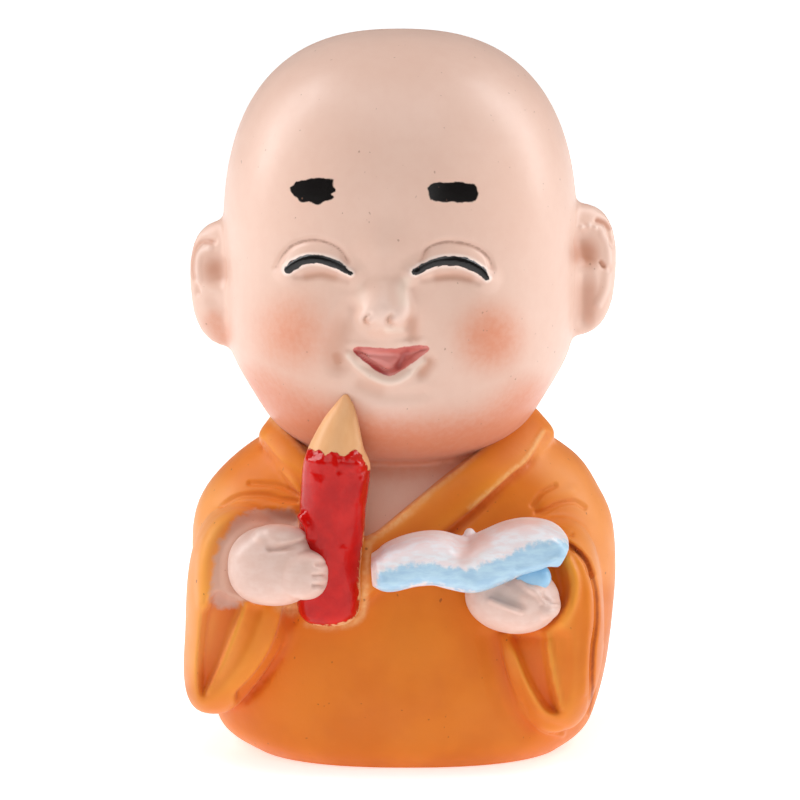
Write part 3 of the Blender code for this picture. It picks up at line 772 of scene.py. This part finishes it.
# %% Book
BOOK_WAVE = (
    (-2.35, 12.9, 0.5), (-1.2, 13.0, 0.82), (0.6, 13.6, 0.93), (2.4, 13.8, 0.97),
    (3.9, 13.45, 0.97), (5.2, 13.3, 1.0), (6.6, 13.8, 1.03), (8.2, 14.5, 1.02),
    (9.6, 14.8, 0.96), (10.9, 14.75, 0.81), (12.0, 14.2, 0.5),
)
BOOK_BACK, BOOK_HALF_DEPTH, BOOK_HALF_THICKNESS = -9.2, 3.3, 1.85


def book_lump():
    rows = np.linspace(0, len(BOOK_WAVE) - 1, 60)
    across, up, share = smooth_through(BOOK_WAVE, rows).T
    centres = np.array([at(a, u, BOOK_BACK - BOOK_HALF_DEPTH) for a, u in zip(across, up)])
    outward = np.tile((0.0, 0.0, 1.0), (len(rows), 1))
    widths = BOOK_HALF_DEPTH * (0.75 + 0.25 * np.sqrt(np.clip(2 * share - 0.9, 0, 1)))
    return band("book", centres, outward, widths, BOOK_HALF_THICKNESS * share, 3.2, sides=40)


nub = egg(at(5.0, 15.6, -9.9), (0.42, 0.9, 0.4))
book = melt("book", [book_lump(), nub], HAND_GRAIN, 4)
for path, reach, height in (
    ([(4.4, 15.0), (4.6, 13.0), (4.2, 11.8)], 1.2, -0.25),
    ([(-2.2, 13.2), (-1.9, 12.2)], 0.5, -0.2),
    ([(-1.9, 13.4), (-1.5, 12.0)], 0.35, 0.15),
    ([(8.6, 12.9), (10.4, 13.3), (11.7, 13.9)], 0.4, 0.1),
):
    carve(book, path, reach, height)
thumb_lump = egg(at(9.6, 12.2, -13.6), (1.5, 1.2, 1.05), squareness=2.3, lean=-15)
thumb = melt("thumb_under_book", [thumb_lump], HAND_GRAIN, 2)

# %% [markdown]
# ## Marks for the paint
#
# The colours don't follow edges of the mesh, so each painted area is stored on the points as a
# number: how far inside its outline the point lies, in parts. The material then cuts that number
# off at zero and roughens the cut with noise. The edge comes out crisp at any size of face, and
# ragged like the edge of brushed paint. A soft spot is stored as a strength instead: sprayed paint,
# and also painted shade and painted highlight.

# %% Storing distances and strengths on the points
def store(piece, name, values):
    attribute = piece.data.attributes.new(name, "FLOAT", "POINT")
    attribute.data.foreach_set("value", np.asarray(values, np.float32))


def store_outline(piece, name, *outlines):
    points, normals = points_of(piece), normals_of(piece)
    places = seen(points)
    value = np.max([inside(places, outline) for outline in outlines], axis=0)
    store(piece, name, np.where(normals @ EYE_BACK < TURNED_AWAY, value, FAR_OUTSIDE))


def store_line(piece, name, *lines):
    """Each line is a path, with its half widths at even steps along it."""
    points, normals = points_of(piece), normals_of(piece)
    places = seen(points)
    value = np.full(len(points), FAR_OUTSIDE)
    for path, widths in lines:
        path = np.asarray(path, float)
        near = ((places > path.min(0) - MARGIN) & (places < path.max(0) + MARGIN)).all(1)
        distance, share = along_path(places[near], path)
        width = smooth_through(np.array(widths)[:, None], share * (len(widths) - 1))[:, 0]
        value[near] = np.maximum(value[near], width - distance)
    store(piece, name, np.where(normals @ EYE_BACK < TURNED_AWAY, value, FAR_OUTSIDE))


def store_soft_spots(piece, name, spots):
    """Soft spots of paint, painted shade and highlight: a path, how far it spreads, how strong in the
    middle.
    """
    points, normals = points_of(piece), normals_of(piece)
    places = seen(points)
    value = np.zeros(len(points))
    for path, reach, strength in spots:
        distance, _ = along_path(places, path)
        value = np.maximum(value, strength * (1 - step(0, 1, distance / reach)))
    store(piece, name, value * step(-0.3, 0.2, -normals @ EYE_BACK))


def store_hollows(piece, passes):
    """How far each point lies below the smoothed skin around it, in parts: creases are positive."""
    points, normals = points_of(piece), normals_of(piece)
    edges = np.empty(len(piece.data.edges) * 2, np.int32)
    piece.data.edges.foreach_get("vertices", edges)
    ends = np.concatenate([edges, edges.reshape(-1, 2)[:, ::-1].ravel()]).reshape(-1, 2)
    count = np.bincount(ends[:, 0], minlength=len(points))
    soft = points.copy()
    for _ in range(passes):
        for axis in range(3):
            total = np.bincount(ends[:, 0], weights=soft[ends[:, 1], axis], minlength=len(points))
            soft[:, axis] = total / np.maximum(count, 1)
    store(piece, "hollow", ((soft - points) * normals).sum(1))


# %% Marks on the head
BROWS = (
    (
        (-8.5, 41.4), (-8.2, 41.75), (-8.15, 42.05), (-7.3, 42.1), (-6.4, 42.35), (-5.7, 42.2),
        (-5.15, 42.15),
        (-5.3, 41.75), (-5.05, 41.35), (-5.4, 41.1), (-5.15, 40.8), (-5.7, 40.6), (-6.4, 40.3),
        (-7.1, 40.5), (-7.7, 40.55),
    ),
    (
        (1.85, 41.7), (2.3, 41.9), (3.67, 41.98), (4.9, 41.9), (5.45, 41.7), (5.65, 41.1), (5.4, 40.6),
        (4.8, 40.45), (3.15, 40.5), (2.2, 40.6), (1.95, 41.0),
    ),
)
store_outline(head, "brow", *BROWS)
store_line(
    head,
    "lash",
    (LASHES[0], (0.32, 0.36, 0.34, 0.32, 0.32, 0.28, 0.12)),
    (LASHES[1], (0.26, 0.3, 0.34, 0.36, 0.38, 0.38, 0.34, 0.2)),
)
# Painted shade: thin dark lines in the lid folds and the nostrils.
SHADE_LINE_WIDTH = (0.02, 0.08, 0.09, 0.08, 0.02)
store_line(head, "fold_and_nostril_shade", *[(line, SHADE_LINE_WIDTH) for line in (*FOLDS, *NOSTRILS)])
store_outline(head, "lip", SMILE)
store_soft_spots(
    head,
    "tongue",
    [([(-2.9, 29.0), (-1.9, 28.8), (-1.0, 28.7)], 0.85, 1.0), ([(0.9, 28.9), (1.6, 29.3)], 0.5, 0.6)],
)
# Darker red along the lower lip line, with painted shade under the upper lip and in the crease beside the
# tongue.
store_soft_spots(
    head,
    "dark_red_and_mouth_shade",
    [
        ([(-3.65, 29.15), (-2.9, 28.55), (-2.0, 27.95), (-1.3, 27.5)], 0.38, 1.0),
        ([(0.3, 29.3), (-0.1, 28.7), (-0.4, 28.1)], 0.5, 0.55),
        ([(-3.4, 29.5), (-1.2, 29.45), (1.2, 29.65)], 0.22, 0.5),
    ],
)
# Painted highlight: pale streaks on and beside the nose and on the ridge under it; along the lower lip's rim
# partly the pale edge of the lip paint, partly painted highlight.
store_soft_spots(
    head,
    "pale",
    [
        (LOWER_LIP, 0.55, 0.7),
        ([(0.2, 34.5), (-0.05, 33.9), (0.1, 33.0)], 0.9, 0.7),
        ([(-3.2, 34.0), (-3.1, 32.9)], 0.9, 0.4),
        ([(-1.2, 30.85), (-0.2, 30.9)], 0.6, 0.6),
    ],
)
# Blush on the cheeks and the ear lobe; under the jaw and on the chest it is partly blush and partly painted
# shade under the chin.
store_soft_spots(
    head,
    "blush_and_jaw_shade",
    [
        ([(-8.4, 30.6)], 5.4, 0.75),
        ([(6.5, 30.3)], 4.6, 0.9),
        ([(-11.0, 26.0), (-6.0, 23.2), (0.0, 22.2), (6.0, 22.8), (9.5, 25.0)], 4.2, 0.95),
        ([(-1.5, 20.0), (2.0, 20.0)], 2.5, 0.3),
        ([(-14.2, 31.6), (-13.4, 30.4)], 1.6, 0.6),
    ],
)
store_soft_spots(
    head,
    "shade",
    [
        ([(-4.6, 31.0), (-5.1, 29.2), (-4.9, 28.2)], 1.9, 0.45),
        ([(-5.0, 28.9), (-4.9, 28.6)], 1.0, 0.75),
        ([(0.7, 31.5), (0.75, 30.5)], 1.0, 0.5),
        ([(1.9, 28.4), (1.5, 27.8)], 1.1, 0.6),
        ([(-3.2, 26.8), (-1.8, 26.3)], 1.0, 0.4),
        (UNDER_LASHES[0][1:-1], 0.8, 0.55),
        (UNDER_LASHES[1][1:-1], 0.8, 0.55),
        ([(-2.75, 31.6)], 0.6, 0.6),
        ([(-0.95, 31.6)], 0.6, 0.6),
        ([(-14.1, 35.4)], 1.9, 0.7),
        ([(-14.4, 37.5), (-15.2, 37.4), (-15.65, 36.6), (-15.75, 35.6), (-15.65, 34.8)], 0.4, 0.6),
        ([(13.6, 36.6)], 2.0, 0.95),
        ([(14.6, 39.1), (15.1, 38.9), (15.45, 38.5)], 0.4, 0.8),
        ([(14.85, 35.95), (15.05, 35.65)], 0.4, 0.9),
        ([(13.8, 33.8), (13.8, 32.2)], 1.8, 0.6),
    ],
)
store_hollows(head, 24)

# %% Marks on the robe, hands, pencil and book
OVERSPRAY = (
    (-8.0, 17.1), (-9.6, 17.4), (-11.3, 17.3), (-12.7, 16.5), (-13.7, 15.0), (-14.3, 12.8), (-14.35, 10.4),
    (-13.0, 10.1), (-11.4, 10.6), (-9.4, 10.6), (-9.0, 13.0), (-7.9, 15.6),
)
store_outline(robe, "overspray", OVERSPRAY)
store_soft_spots(
    robe,
    "cream",
    [
        ([(-2.2, 18.5), (-2.45, 16.0), (-2.75, 13.0), (-2.95, 10.0), (-3.6, 9.0), (-5.4, 8.6),
          (-7.2, 8.9)], 0.45, 0.8),
        ([(-9.2, 10.3), (-8.2, 10.0)], 0.9, 0.9),
        ([(9.2, 25.3), (7.8, 24.0), (6.4, 22.6), (4.5, 20.8), (2.4, 19.1), (0.1, 17.0),
          (-2.3, 15.2)], 0.5, 0.9),
        ([(-9.9, 24.4), (-7.4, 21.9)], 0.6, 0.8),
        ([(10.5, 23.3), (9.2, 21.2), (8.1, 20.3), (6.9, 19.2), (5.0, 17.5)], 0.25, 0.7),
    ],
)
# Painted shade, partly thicker paint pooled there: darker orange in the sleeves' mouths, beside the palm and
# under the sleeves.
store_soft_spots(
    robe,
    "deep",
    [
        ([(-13.2, 10.8), (-13.8, 7.6), (-14.6, 4.9)], 1.3, 0.9),
        ([(9.4, 8.2), (9.9, 5.8), (10.8, 3.4)], 1.3, 0.9),
        ([(10.9, 14.2), (11.7, 12.4), (11.9, 10.9), (11.2, 9.6), (10.2, 8.7)], 1.0, 0.9),
        ([(-8.4, 9.7), (-9.2, 7.2), (-10.4, 5.0), (-11.9, 3.4)], 1.0, 0.8),
        ([(7.0, 7.8), (7.7, 4.8), (8.4, 2.6), (9.6, 1.0)], 1.1, 0.6),
    ],
)
# Painted shade: a dark line in the groove of the sleeve's seam.
SEAM_WIDTH = (0.1, 0.18, 0.14, 0.1, 0.1, 0.1, 0.1, 0.1, 0.08, 0.02)
store_line(robe, "seam_shade", (SLEEVE_SEAM, SEAM_WIDTH))
# Peach on the outer left sleeve and the right shoulder: partly the robe's own tone, partly painted light
# where the side lamps fall.
store_soft_spots(
    robe,
    "peach_and_side_light",
    [
        ([(-14.8, 17.5), (-15.4, 12.0), (-15.2, 7.0)], 5.0, 1.0),
        ([(10.5, 21.5), (13.8, 18.0), (15.2, 13.0)], 3.5, 0.7),
    ],
)
store_hollows(robe, 40)
store_hollows(gripping_hand, 16)
store_hollows(open_hand, 16)
store_soft_spots(open_hand, "shade", [([(7.4, 11.0), (8.2, 10.7)], 1.4, 0.9), ([(8.6, 10.4)], 0.8, 0.6)])
RED_EDGE = (
    (-9.5, 21.7), (-6.75, 21.85), (-6.3, 21.85), (-5.92, 21.55), (-5.25, 21.7), (-4.42, 21.5), (-3.9, 21.8),
    (-3.3, 21.75), (-2.95, 21.2), (-2.6, 20.4), (-2.3, 20.0), (-2.65, 17.5), (-3.1, 14.2),
    (-3.35, 12.8), (-3.35, 10.0),
    (-3.95, 9.2), (-5.4, 8.75), (-7.0, 8.75), (-9.5, 8.7),
)
store_outline(pencil, "red", RED_EDGE)
BLUE_BAND = (
    (-1.9, 12.4), (-0.6, 13.0), (1.6, 13.4), (3.5, 13.05), (5.3, 12.9), (6.3, 13.45), (7.3, 13.8),
    (8.4, 14.2), (9.3, 14.6), (10.3, 14.95), (11.3, 15.1), (12.3, 15.0), (12.8, 13.8), (12.6, 12.6),
    (10.4, 12.5),
    (8.8, 12.3), (7.3, 11.7), (5.9, 11.1), (4.4, 11.3), (2.6, 11.7), (1.2, 11.8), (0.2, 11.5),
    (-1.0, 11.0), (-1.9, 11.4),
)
store_outline(book, "blue", BLUE_BAND)
store_soft_spots(
    book,
    "pink",
    [
        ([(-2.6, 13.4), (-2.2, 12.0)], 0.9, 1.0),
        ([(6.0, 15.0), (4.6, 13.9)], 1.4, 0.8),
        ([(7.4, 16.3), (10.0, 16.6)], 1.2, 0.6),
    ],
)

# %% [markdown]
# ## Materials
#
# Everything is acrylic paint on resin: a plastic film, so it is not metallic, and its index of
# refraction is about 1.46 to 1.5. The sprayed skin is satin, the robe a little duller, and what was
# laid on with a brush (black, red, lips) is glossier, because it is thicker and levels out.

# %% One function for a colour, one for a node
def linear(code):
    """A colour given as sRGB hex, turned to the linear values that nodes want."""
    parts = [int(code[i : i + 2], 16) / 255 for i in (0, 2, 4)]
    return (*[c / 12.92 if c <= 0.04045 else ((c + 0.055) / 1.055) ** 2.4 for c in parts], 1)


def node(tree, kind, inputs=(), output=0, **settings):
    """Adds a node, sets it, and fills its inputs with values or links. Returns one output."""
    made = tree.nodes.new("ShaderNode" + kind)
    for name, value in settings.items():
        setattr(made, name, value)
    for key, value in inputs.items() if isinstance(inputs, dict) else enumerate(inputs):
        if isinstance(value, bpy.types.NodeSocket):
            tree.links.new(value, made.inputs[key])
        else:
            made.inputs[key].default_value = value
    return made.outputs[output]


MM = 0.001
MIX = {"data_type": "RGBA", "output": 2}
EASED = {"interpolation_type": "SMOOTHSTEP"}
TIMES = {"operation": "MULTIPLY"}

# %% [markdown]
# Brushed paint is never even. Its patches are noise as wide as they are on the object, in
# millimetres. A tint follows a stored mark, for paint and for painted shade and highlight alike,
# and a ragged edge follows a stored distance.


# %% What paint does
def patches(tree, place, size, detail=3.0, ease=None):
    """Patches about this many millimetres wide, eased between two values where that is asked."""
    keys = {"Vector": place, "Scale": 1 / (size * MM), "Detail": detail, "Roughness": 0.55}
    cloud = node(tree, "TexNoise", keys)
    return cloud if ease is None else node(tree, "MapRange", (cloud, *ease), **EASED)


def ragged_mask(tree, place, mark, ragged, edge=0.06, grain=0.5):
    """1 where a stored distance is over zero, with an edge that wanders by the ragged amount."""
    distance = node(tree, "Attribute", output=2, attribute_name=mark)
    wander = patches(tree, place, grain, ease=(0.3, 0.7, -ragged, ragged))
    total = node(tree, "Math", (distance, wander), operation="ADD")
    return node(tree, "MapRange", (total, -edge, edge, 0.0, 1.0), **EASED)


def laid_over(tree, colour, share, most, code):
    """Lays one colour over another, at most this strongly."""
    share = node(tree, "Math", (share, most), **TIMES)
    return node(tree, "Mix", {0: share, 6: colour, 7: linear(code)}, **MIX)


def tinted(tree, colour, *tints):
    """Lays tints over a colour: each is a mark, where it starts and ends, its most and its colour."""
    for mark, start, end, most, code in tints:
        share = node(tree, "Attribute", output=2, attribute_name=mark)
        share = node(tree, "MapRange", (share, start, end, 0.0, most), **EASED)
        colour = node(tree, "Mix", {0: share, 6: colour, 7: linear(code)}, **MIX)
    return colour


def painted(piece, name, roughness, shine=0.5, dust=0.0):
    """Starts a painted surface: shine is 0.5 for a full smooth film, dust is a powdery pale sheen."""
    material = bpy.data.materials.new(name)
    material.use_nodes = True
    piece.data.materials.append(material)
    shader = material.node_tree.nodes["Principled BSDF"]
    shader.inputs["IOR"].default_value = 1.46
    shader.inputs["Metallic"].default_value = 0.0
    shader.inputs["Roughness"].default_value = roughness
    shader.inputs["Specular IOR Level"].default_value = shine
    shader.inputs["Sheen Weight"].default_value = dust
    shader.inputs["Sheen Roughness"].default_value = 0.5
    return material.node_tree, shader, node(material.node_tree, "TexCoord", output="Object")


def finish_paint(tree, shader, colour, height, strength, roughness=None, distance=0.05):
    tree.links.new(colour, shader.inputs["Base Color"])
    if roughness is not None:
        tree.links.new(roughness, shader.inputs["Roughness"])
    bump = node(tree, "Bump", {"Height": height, "Strength": strength, "Distance": distance * MM})
    tree.links.new(bump, shader.inputs["Normal"])


# %% Sprayed skin, with brushed lips, brows and lashes, and painted shade and highlight
tree, shader, place = painted(head, "acrylic skin tone, sprayed satin", 0.38, 0.5, 0.1)
broad = patches(tree, place, 7.0, 2.0)
colour = node(tree, "Mix", {0: broad, 6: linear("E0B8A5"), 7: linear("E8C5B4")}, **MIX)
mottled = patches(tree, place, 0.9, 4.0, (0.35, 0.7, 0.0, 0.12))
colour = laid_over(tree, colour, mottled, 1.0, "D9A995")
# Painted shade and highlight: darker salmon in creases and hollows, partly the paint's own airbrushed tone,
# paler on ridges, and shade spots by the smile, lashes, nostrils and ears.
colour = tinted(
    tree,
    colour,
    ("hollow", 0.02, 0.35, 0.5, "BE8069"),
    ("hollow", -0.02, -0.2, 0.35, "F6DDD2"),
    ("shade", 0.0, 1.0, 0.85, "BC7C5E"),
)
# Painted shade lines in the lid folds and nostrils.
colour = laid_over(tree, colour, ragged_mask(tree, place, "fold_and_nostril_shade", 0.03), 0.45, "8E6250")
# Blush on cheeks and ear lobe, partly painted shade under the jaw and on the chest.
grain = patches(tree, place, 0.45, 5.0, (0.3, 0.7, 0.85, 1.0))
blush_and_jaw_shade = node(tree, "Attribute", output=2, attribute_name="blush_and_jaw_shade")
blush_and_jaw_shade = node(tree, "Math", (blush_and_jaw_shade, grain), **TIMES)
blush_and_jaw_shade = node(tree, "MapRange", (blush_and_jaw_shade, 0.0, 1.0, 0.0, 0.92), **EASED)
colour = laid_over(tree, colour, blush_and_jaw_shade, 1.0, "D9845F")
# Painted highlight on the nose and under it, and partly on the lower lip's rim.
colour = tinted(tree, colour, ("pale", 0.0, 1.0, 0.7, "EBD5C4"))
lips = patches(tree, place, 0.8)
lips = node(tree, "Mix", {0: lips, 6: linear("CA665E"), 7: linear("DC8478")}, **MIX)
# Dark red lip line, and painted shade under the upper lip and beside the tongue.
lips = tinted(tree, lips, ("tongue", 0.1, 0.9, 0.8, "E09088"), ("dark_red_and_mouth_shade", 0.0, 1.0, 1.0, "A83F3E"))
lip = ragged_mask(tree, place, "lip", 0.03)
colour = node(tree, "Mix", {0: lip, 6: colour, 7: lips}, **MIX)
# A pale rim just outside the lashes, on the ledge they sit on: partly bare pale edge, partly painted
# highlight.
colour = tinted(tree, colour, ("lash", -0.3, -0.05, 0.55, "FBE9E0"))
brow = ragged_mask(tree, place, "brow", 0.05, grain=0.6)
lash = ragged_mask(tree, place, "lash", 0.05, edge=0.04, grain=0.6)
black = node(tree, "Math", (brow, lash), operation="MAXIMUM")
colour = laid_over(tree, colour, black, 1.0, "0D0908")
pits = patches(tree, place, 0.42, 1.0, (0.19, 0.25, 1.0, 0.0))
colour = laid_over(tree, colour, pits, 0.5, "95654F")
glossy = node(tree, "Math", (black, lip), operation="MAXIMUM")
satin = patches(tree, place, 1.5, ease=(0.3, 0.7, 0.33, 0.41))
roughness = node(tree, "Mix", {0: glossy, 2: satin, 3: 0.22}, data_type="FLOAT")
height = node(tree, "Math", (patches(tree, place, 0.35, 5.0), pits), operation="SUBTRACT")
finish_paint(tree, shader, colour, height, 0.18, roughness)

# %% Brushed orange of the robe, with painted shade and highlight
tree, shader, place = painted(robe, "acrylic orange, brushed matte-satin", 0.5, 0.3, 0.12)
broad = patches(tree, place, 6.0, ease=(0.35, 0.65, 0.0, 1.0))
colour = node(tree, "Mix", {0: broad, 6: linear("DA7314"), 7: linear("E37E1C")}, **MIX)
# Painted shade in the hollows, sleeves' mouths and under the sleeves, partly pooled paint; painted highlight
# on the ridges.
colour = tinted(
    tree,
    colour,
    ("peach_and_side_light", 0.1, 1.0, 0.7, "F4A458"),
    ("hollow", 0.03, 0.5, 0.7, "CE5410"),
    ("hollow", -0.06, -0.5, 0.6, "F0A038"),
    ("deep", 0.0, 1.0, 0.7, "D66212"),
)
cream = node(tree, "Attribute", output=2, attribute_name="cream")
dusty = patches(tree, place, 0.4, 4.0, (0.3, 0.7, 0.45, 1.0))
colour = laid_over(tree, colour, cream, dusty, "F2C184")
overspray = ragged_mask(tree, place, "overspray", 0.18, edge=0.3, grain=0.8)
colour = laid_over(tree, colour, overspray, 0.9, "D0A594")
# Painted shade in the sleeve's seam.
seam_shade = ragged_mask(tree, place, "seam_shade", 0.02, edge=0.1)
colour = laid_over(tree, colour, seam_shade, 0.8, "9A3F0A")
pits = patches(tree, place, 0.6, 1.0, (0.19, 0.25, 1.0, 0.0))
colour = laid_over(tree, colour, pits, 0.6, "7A3208")
roughness = patches(tree, place, 2.0, ease=(0.3, 0.7, 0.4, 0.52))
height = node(tree, "Math", (patches(tree, place, 0.3, 5.0), pits), operation="SUBTRACT")
finish_paint(tree, shader, colour, height, 0.25, roughness)

# %% Pale hands, with painted shade in the creases
# Painted shade: darker in the creases of both hands, and a grey spot on the palm.
CREASE_SHADE = ("hollow", 0.02, 0.3, 0.55, "C08C7C")
PALM_SHADE = ("shade", 0.1, 1.0, 0.6, "B0A09A")
for hand, name, tints in (
    (gripping_hand, "acrylic pale pink, brushed on the grip", (CREASE_SHADE,)),
    (open_hand, "acrylic pale pink, brushed on the palm", (CREASE_SHADE, PALM_SHADE)),
):
    tree, shader, place = painted(hand, name, 0.36)
    streaks = patches(tree, node(tree, "Mapping", {"Vector": place, "Scale": (1, 1, 1.8)}), 0.9)
    share = node(tree, "MapRange", (streaks, 0.3, 0.75, 0.0, 1.0), **EASED)
    colour = node(tree, "Mix", {0: share, 6: linear("E0BCAE"), 7: linear("E5C6BA")}, **MIX)
    finish_paint(tree, shader, tinted(tree, colour, *tints), streaks, 0.07)

# %% Red gloss over bare wood colour
tree, shader, place = painted(pencil, "acrylic red gloss over wood tone", 0.16, 0.32)
grain = patches(tree, node(tree, "Mapping", {"Vector": place, "Scale": (1, 1, 0.3)}), 0.8, 4.0)
wood = node(tree, "Mix", {0: grain, 6: linear("E3A26C"), 7: linear("F0BE8C")}, **MIX)
pooled = patches(tree, place, 1.6, ease=(0.3, 0.7, 0.0, 1.0))
red = node(tree, "Mix", {0: pooled, 6: linear("B80907"), 7: linear("CC1610")}, **MIX)
mask = ragged_mask(tree, place, "red", 0.1, edge=0.05)
colour = node(tree, "Mix", {0: mask, 6: wood, 7: red}, **MIX)
roughness = node(tree, "Mix", {0: mask, 2: 0.4, 3: 0.16}, data_type="FLOAT")
film = node(tree, "Math", (pooled, mask), **TIMES)
height = node(tree, "Math", (film, mask), operation="ADD")
finish_paint(tree, shader, colour, height, 0.5, roughness, distance=0.1)

# %% White pages with a blue edge, and the blue end below them
tree, shader, place = painted(book, "acrylic white and pale blue, brushed", 0.32)
along = patches(tree, node(tree, "Mapping", {"Vector": place, "Scale": (0.6, 1, 1.8)}), 0.7, 4.0)
share = node(tree, "MapRange", (along, 0.35, 0.65, 0.0, 1.0), **EASED)
colour = node(tree, "Mix", {0: share, 6: linear("EDDFE0"), 7: linear("F0F0F4")}, **MIX)
colour = tinted(tree, colour, ("pink", 0.0, 1.0, 0.7, "E6B9AC"))
share = node(tree, "MapRange", (along, 0.3, 0.7, 0.0, 1.0), **EASED)
blue = node(tree, "Mix", {0: share, 6: linear("A2C6E0"), 7: linear("B8D8EA")}, **MIX)
mask = ragged_mask(tree, place, "blue", 0.2, edge=0.25)
colour = node(tree, "Mix", {0: mask, 6: colour, 7: blue}, **MIX)
finish_paint(tree, shader, colour, along, 0.35)

tree, shader, place = painted(thumb, "acrylic sky blue, brushed", 0.3)
dabs = patches(tree, place, 0.7)
colour = node(tree, "Mix", {0: dabs, 6: linear("8CC0E4"), 7: linear("AAD2EC")}, **MIX)
finish_paint(tree, shader, colour, dabs, 0.3)
print("paints:", [material.name for material in bpy.data.materials])

# %% [markdown]
# ## Joining the pieces to the frame
#
# All pieces stand for the one solid casting and ride on its body.

# %% Set the last points back onto the solid's box, then ride and replace
for piece in (head, robe, gripping_hand, open_hand, pencil, book, thumb):
    put_points(piece, np.clip(points_of(piece), np.array(low) / PART, np.array(high) / PART))
    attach(piece, BODY)
    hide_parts(SOLID)

# %% [markdown]
# ## Floor, light and camera
#
# A product photograph of so small a thing is lit by big soft lamps close to it, one on each side,
# so that the round head has a broad soft highlight on both temples and stays a little darker in
# the middle. A lamp above and a faint one low in front soften the shadows, and the white room glows
# as well, less in front. The camera is far away with a long lens, ten degrees above the figure.

# %% Floor and surroundings
bpy.ops.object.select_all(action="DESELECT")
bpy.ops.mesh.primitive_circle_add(radius=6.0, vertices=96, fill_type="NGON", location=(0, 0, -0.00005))
floor = bpy.context.object
floor.name = "floor"
bpy.ops.object.transform_apply(location=True)
floor_finish = bpy.data.materials.new("pale matte floor")
floor_finish.use_nodes = True
floor_shader = floor_finish.node_tree.nodes["Principled BSDF"]
floor_shader.inputs["Base Color"].default_value = linear("F4F3F2")
floor_shader.inputs["Roughness"].default_value = 0.9
floor_shader.inputs["Emission Color"].default_value = (1, 1, 1, 1)
tree = floor_finish.node_tree
place = node(tree, "TexCoord", output="Object")
# The floor glows as well: least near the figure, fully from half a metre out.
from_middle = node(tree, "VectorMath", (place,), output=1, operation="LENGTH")
glow = node(tree, "MapRange", (from_middle, 0.05, 0.5, 0.55, 1.0), **EASED)
tree.links.new(glow, floor_shader.inputs["Emission Strength"])
floor.data.materials.append(floor_finish)

world = bpy.data.worlds.new("soft white room")
bpy.context.scene.world = world
world.use_nodes = True
tree = world.node_tree
toward = node(tree, "TexCoord", output="Generated")
depth_of_room = node(tree, "SeparateXYZ", (toward,), output="Y")
front_is_dim = node(tree, "MapRange", (depth_of_room, -0.9, 0.1, 0.2, 0.7), **EASED)
tree.links.new(front_is_dim, tree.nodes["Background"].inputs["Strength"])

# %% Lamps
LOOK_AT = Vector((0, 0, 0.027))


def softbox(name, place, width, height, watts, colour=(1, 1, 1)):
    bpy.ops.object.light_add(type="AREA", location=place)
    lamp = bpy.context.object
    lamp.name = name
    lamp.data.shape = "RECTANGLE"
    lamp.data.size = width
    lamp.data.size_y = height
    lamp.data.energy = watts
    lamp.data.color = colour
    lamp.rotation_euler = (LOOK_AT - Vector(place)).to_track_quat("-Z", "Y").to_euler()


softbox("left softbox", (-0.27, 0.04, 0.21), 0.12, 0.34, 0.82, (0.97, 0.985, 1))
softbox("right softbox", (0.27, 0.04, 0.20), 0.12, 0.34, 0.80, (0.97, 0.985, 1))
softbox("top softbox", (-0.02, -0.20, 0.38), 0.30, 0.30, 0.60)
softbox("low front softbox", (-0.02, -0.33, 0.08), 0.24, 0.16, 0.10)

# %% Camera
CAMERA_LENS = 240
bpy.ops.object.camera_add(location=EYE * MM)
camera = bpy.context.object
camera.data.sensor_width = 36
camera.data.lens = CAMERA_LENS
camera.data.clip_start = 0.01
camera.rotation_euler = Vector(-EYE_BACK).to_track_quat("Z", "Y").to_euler()
bpy.context.scene.camera = camera
bpy.context.scene.view_settings.view_transform = "Standard"
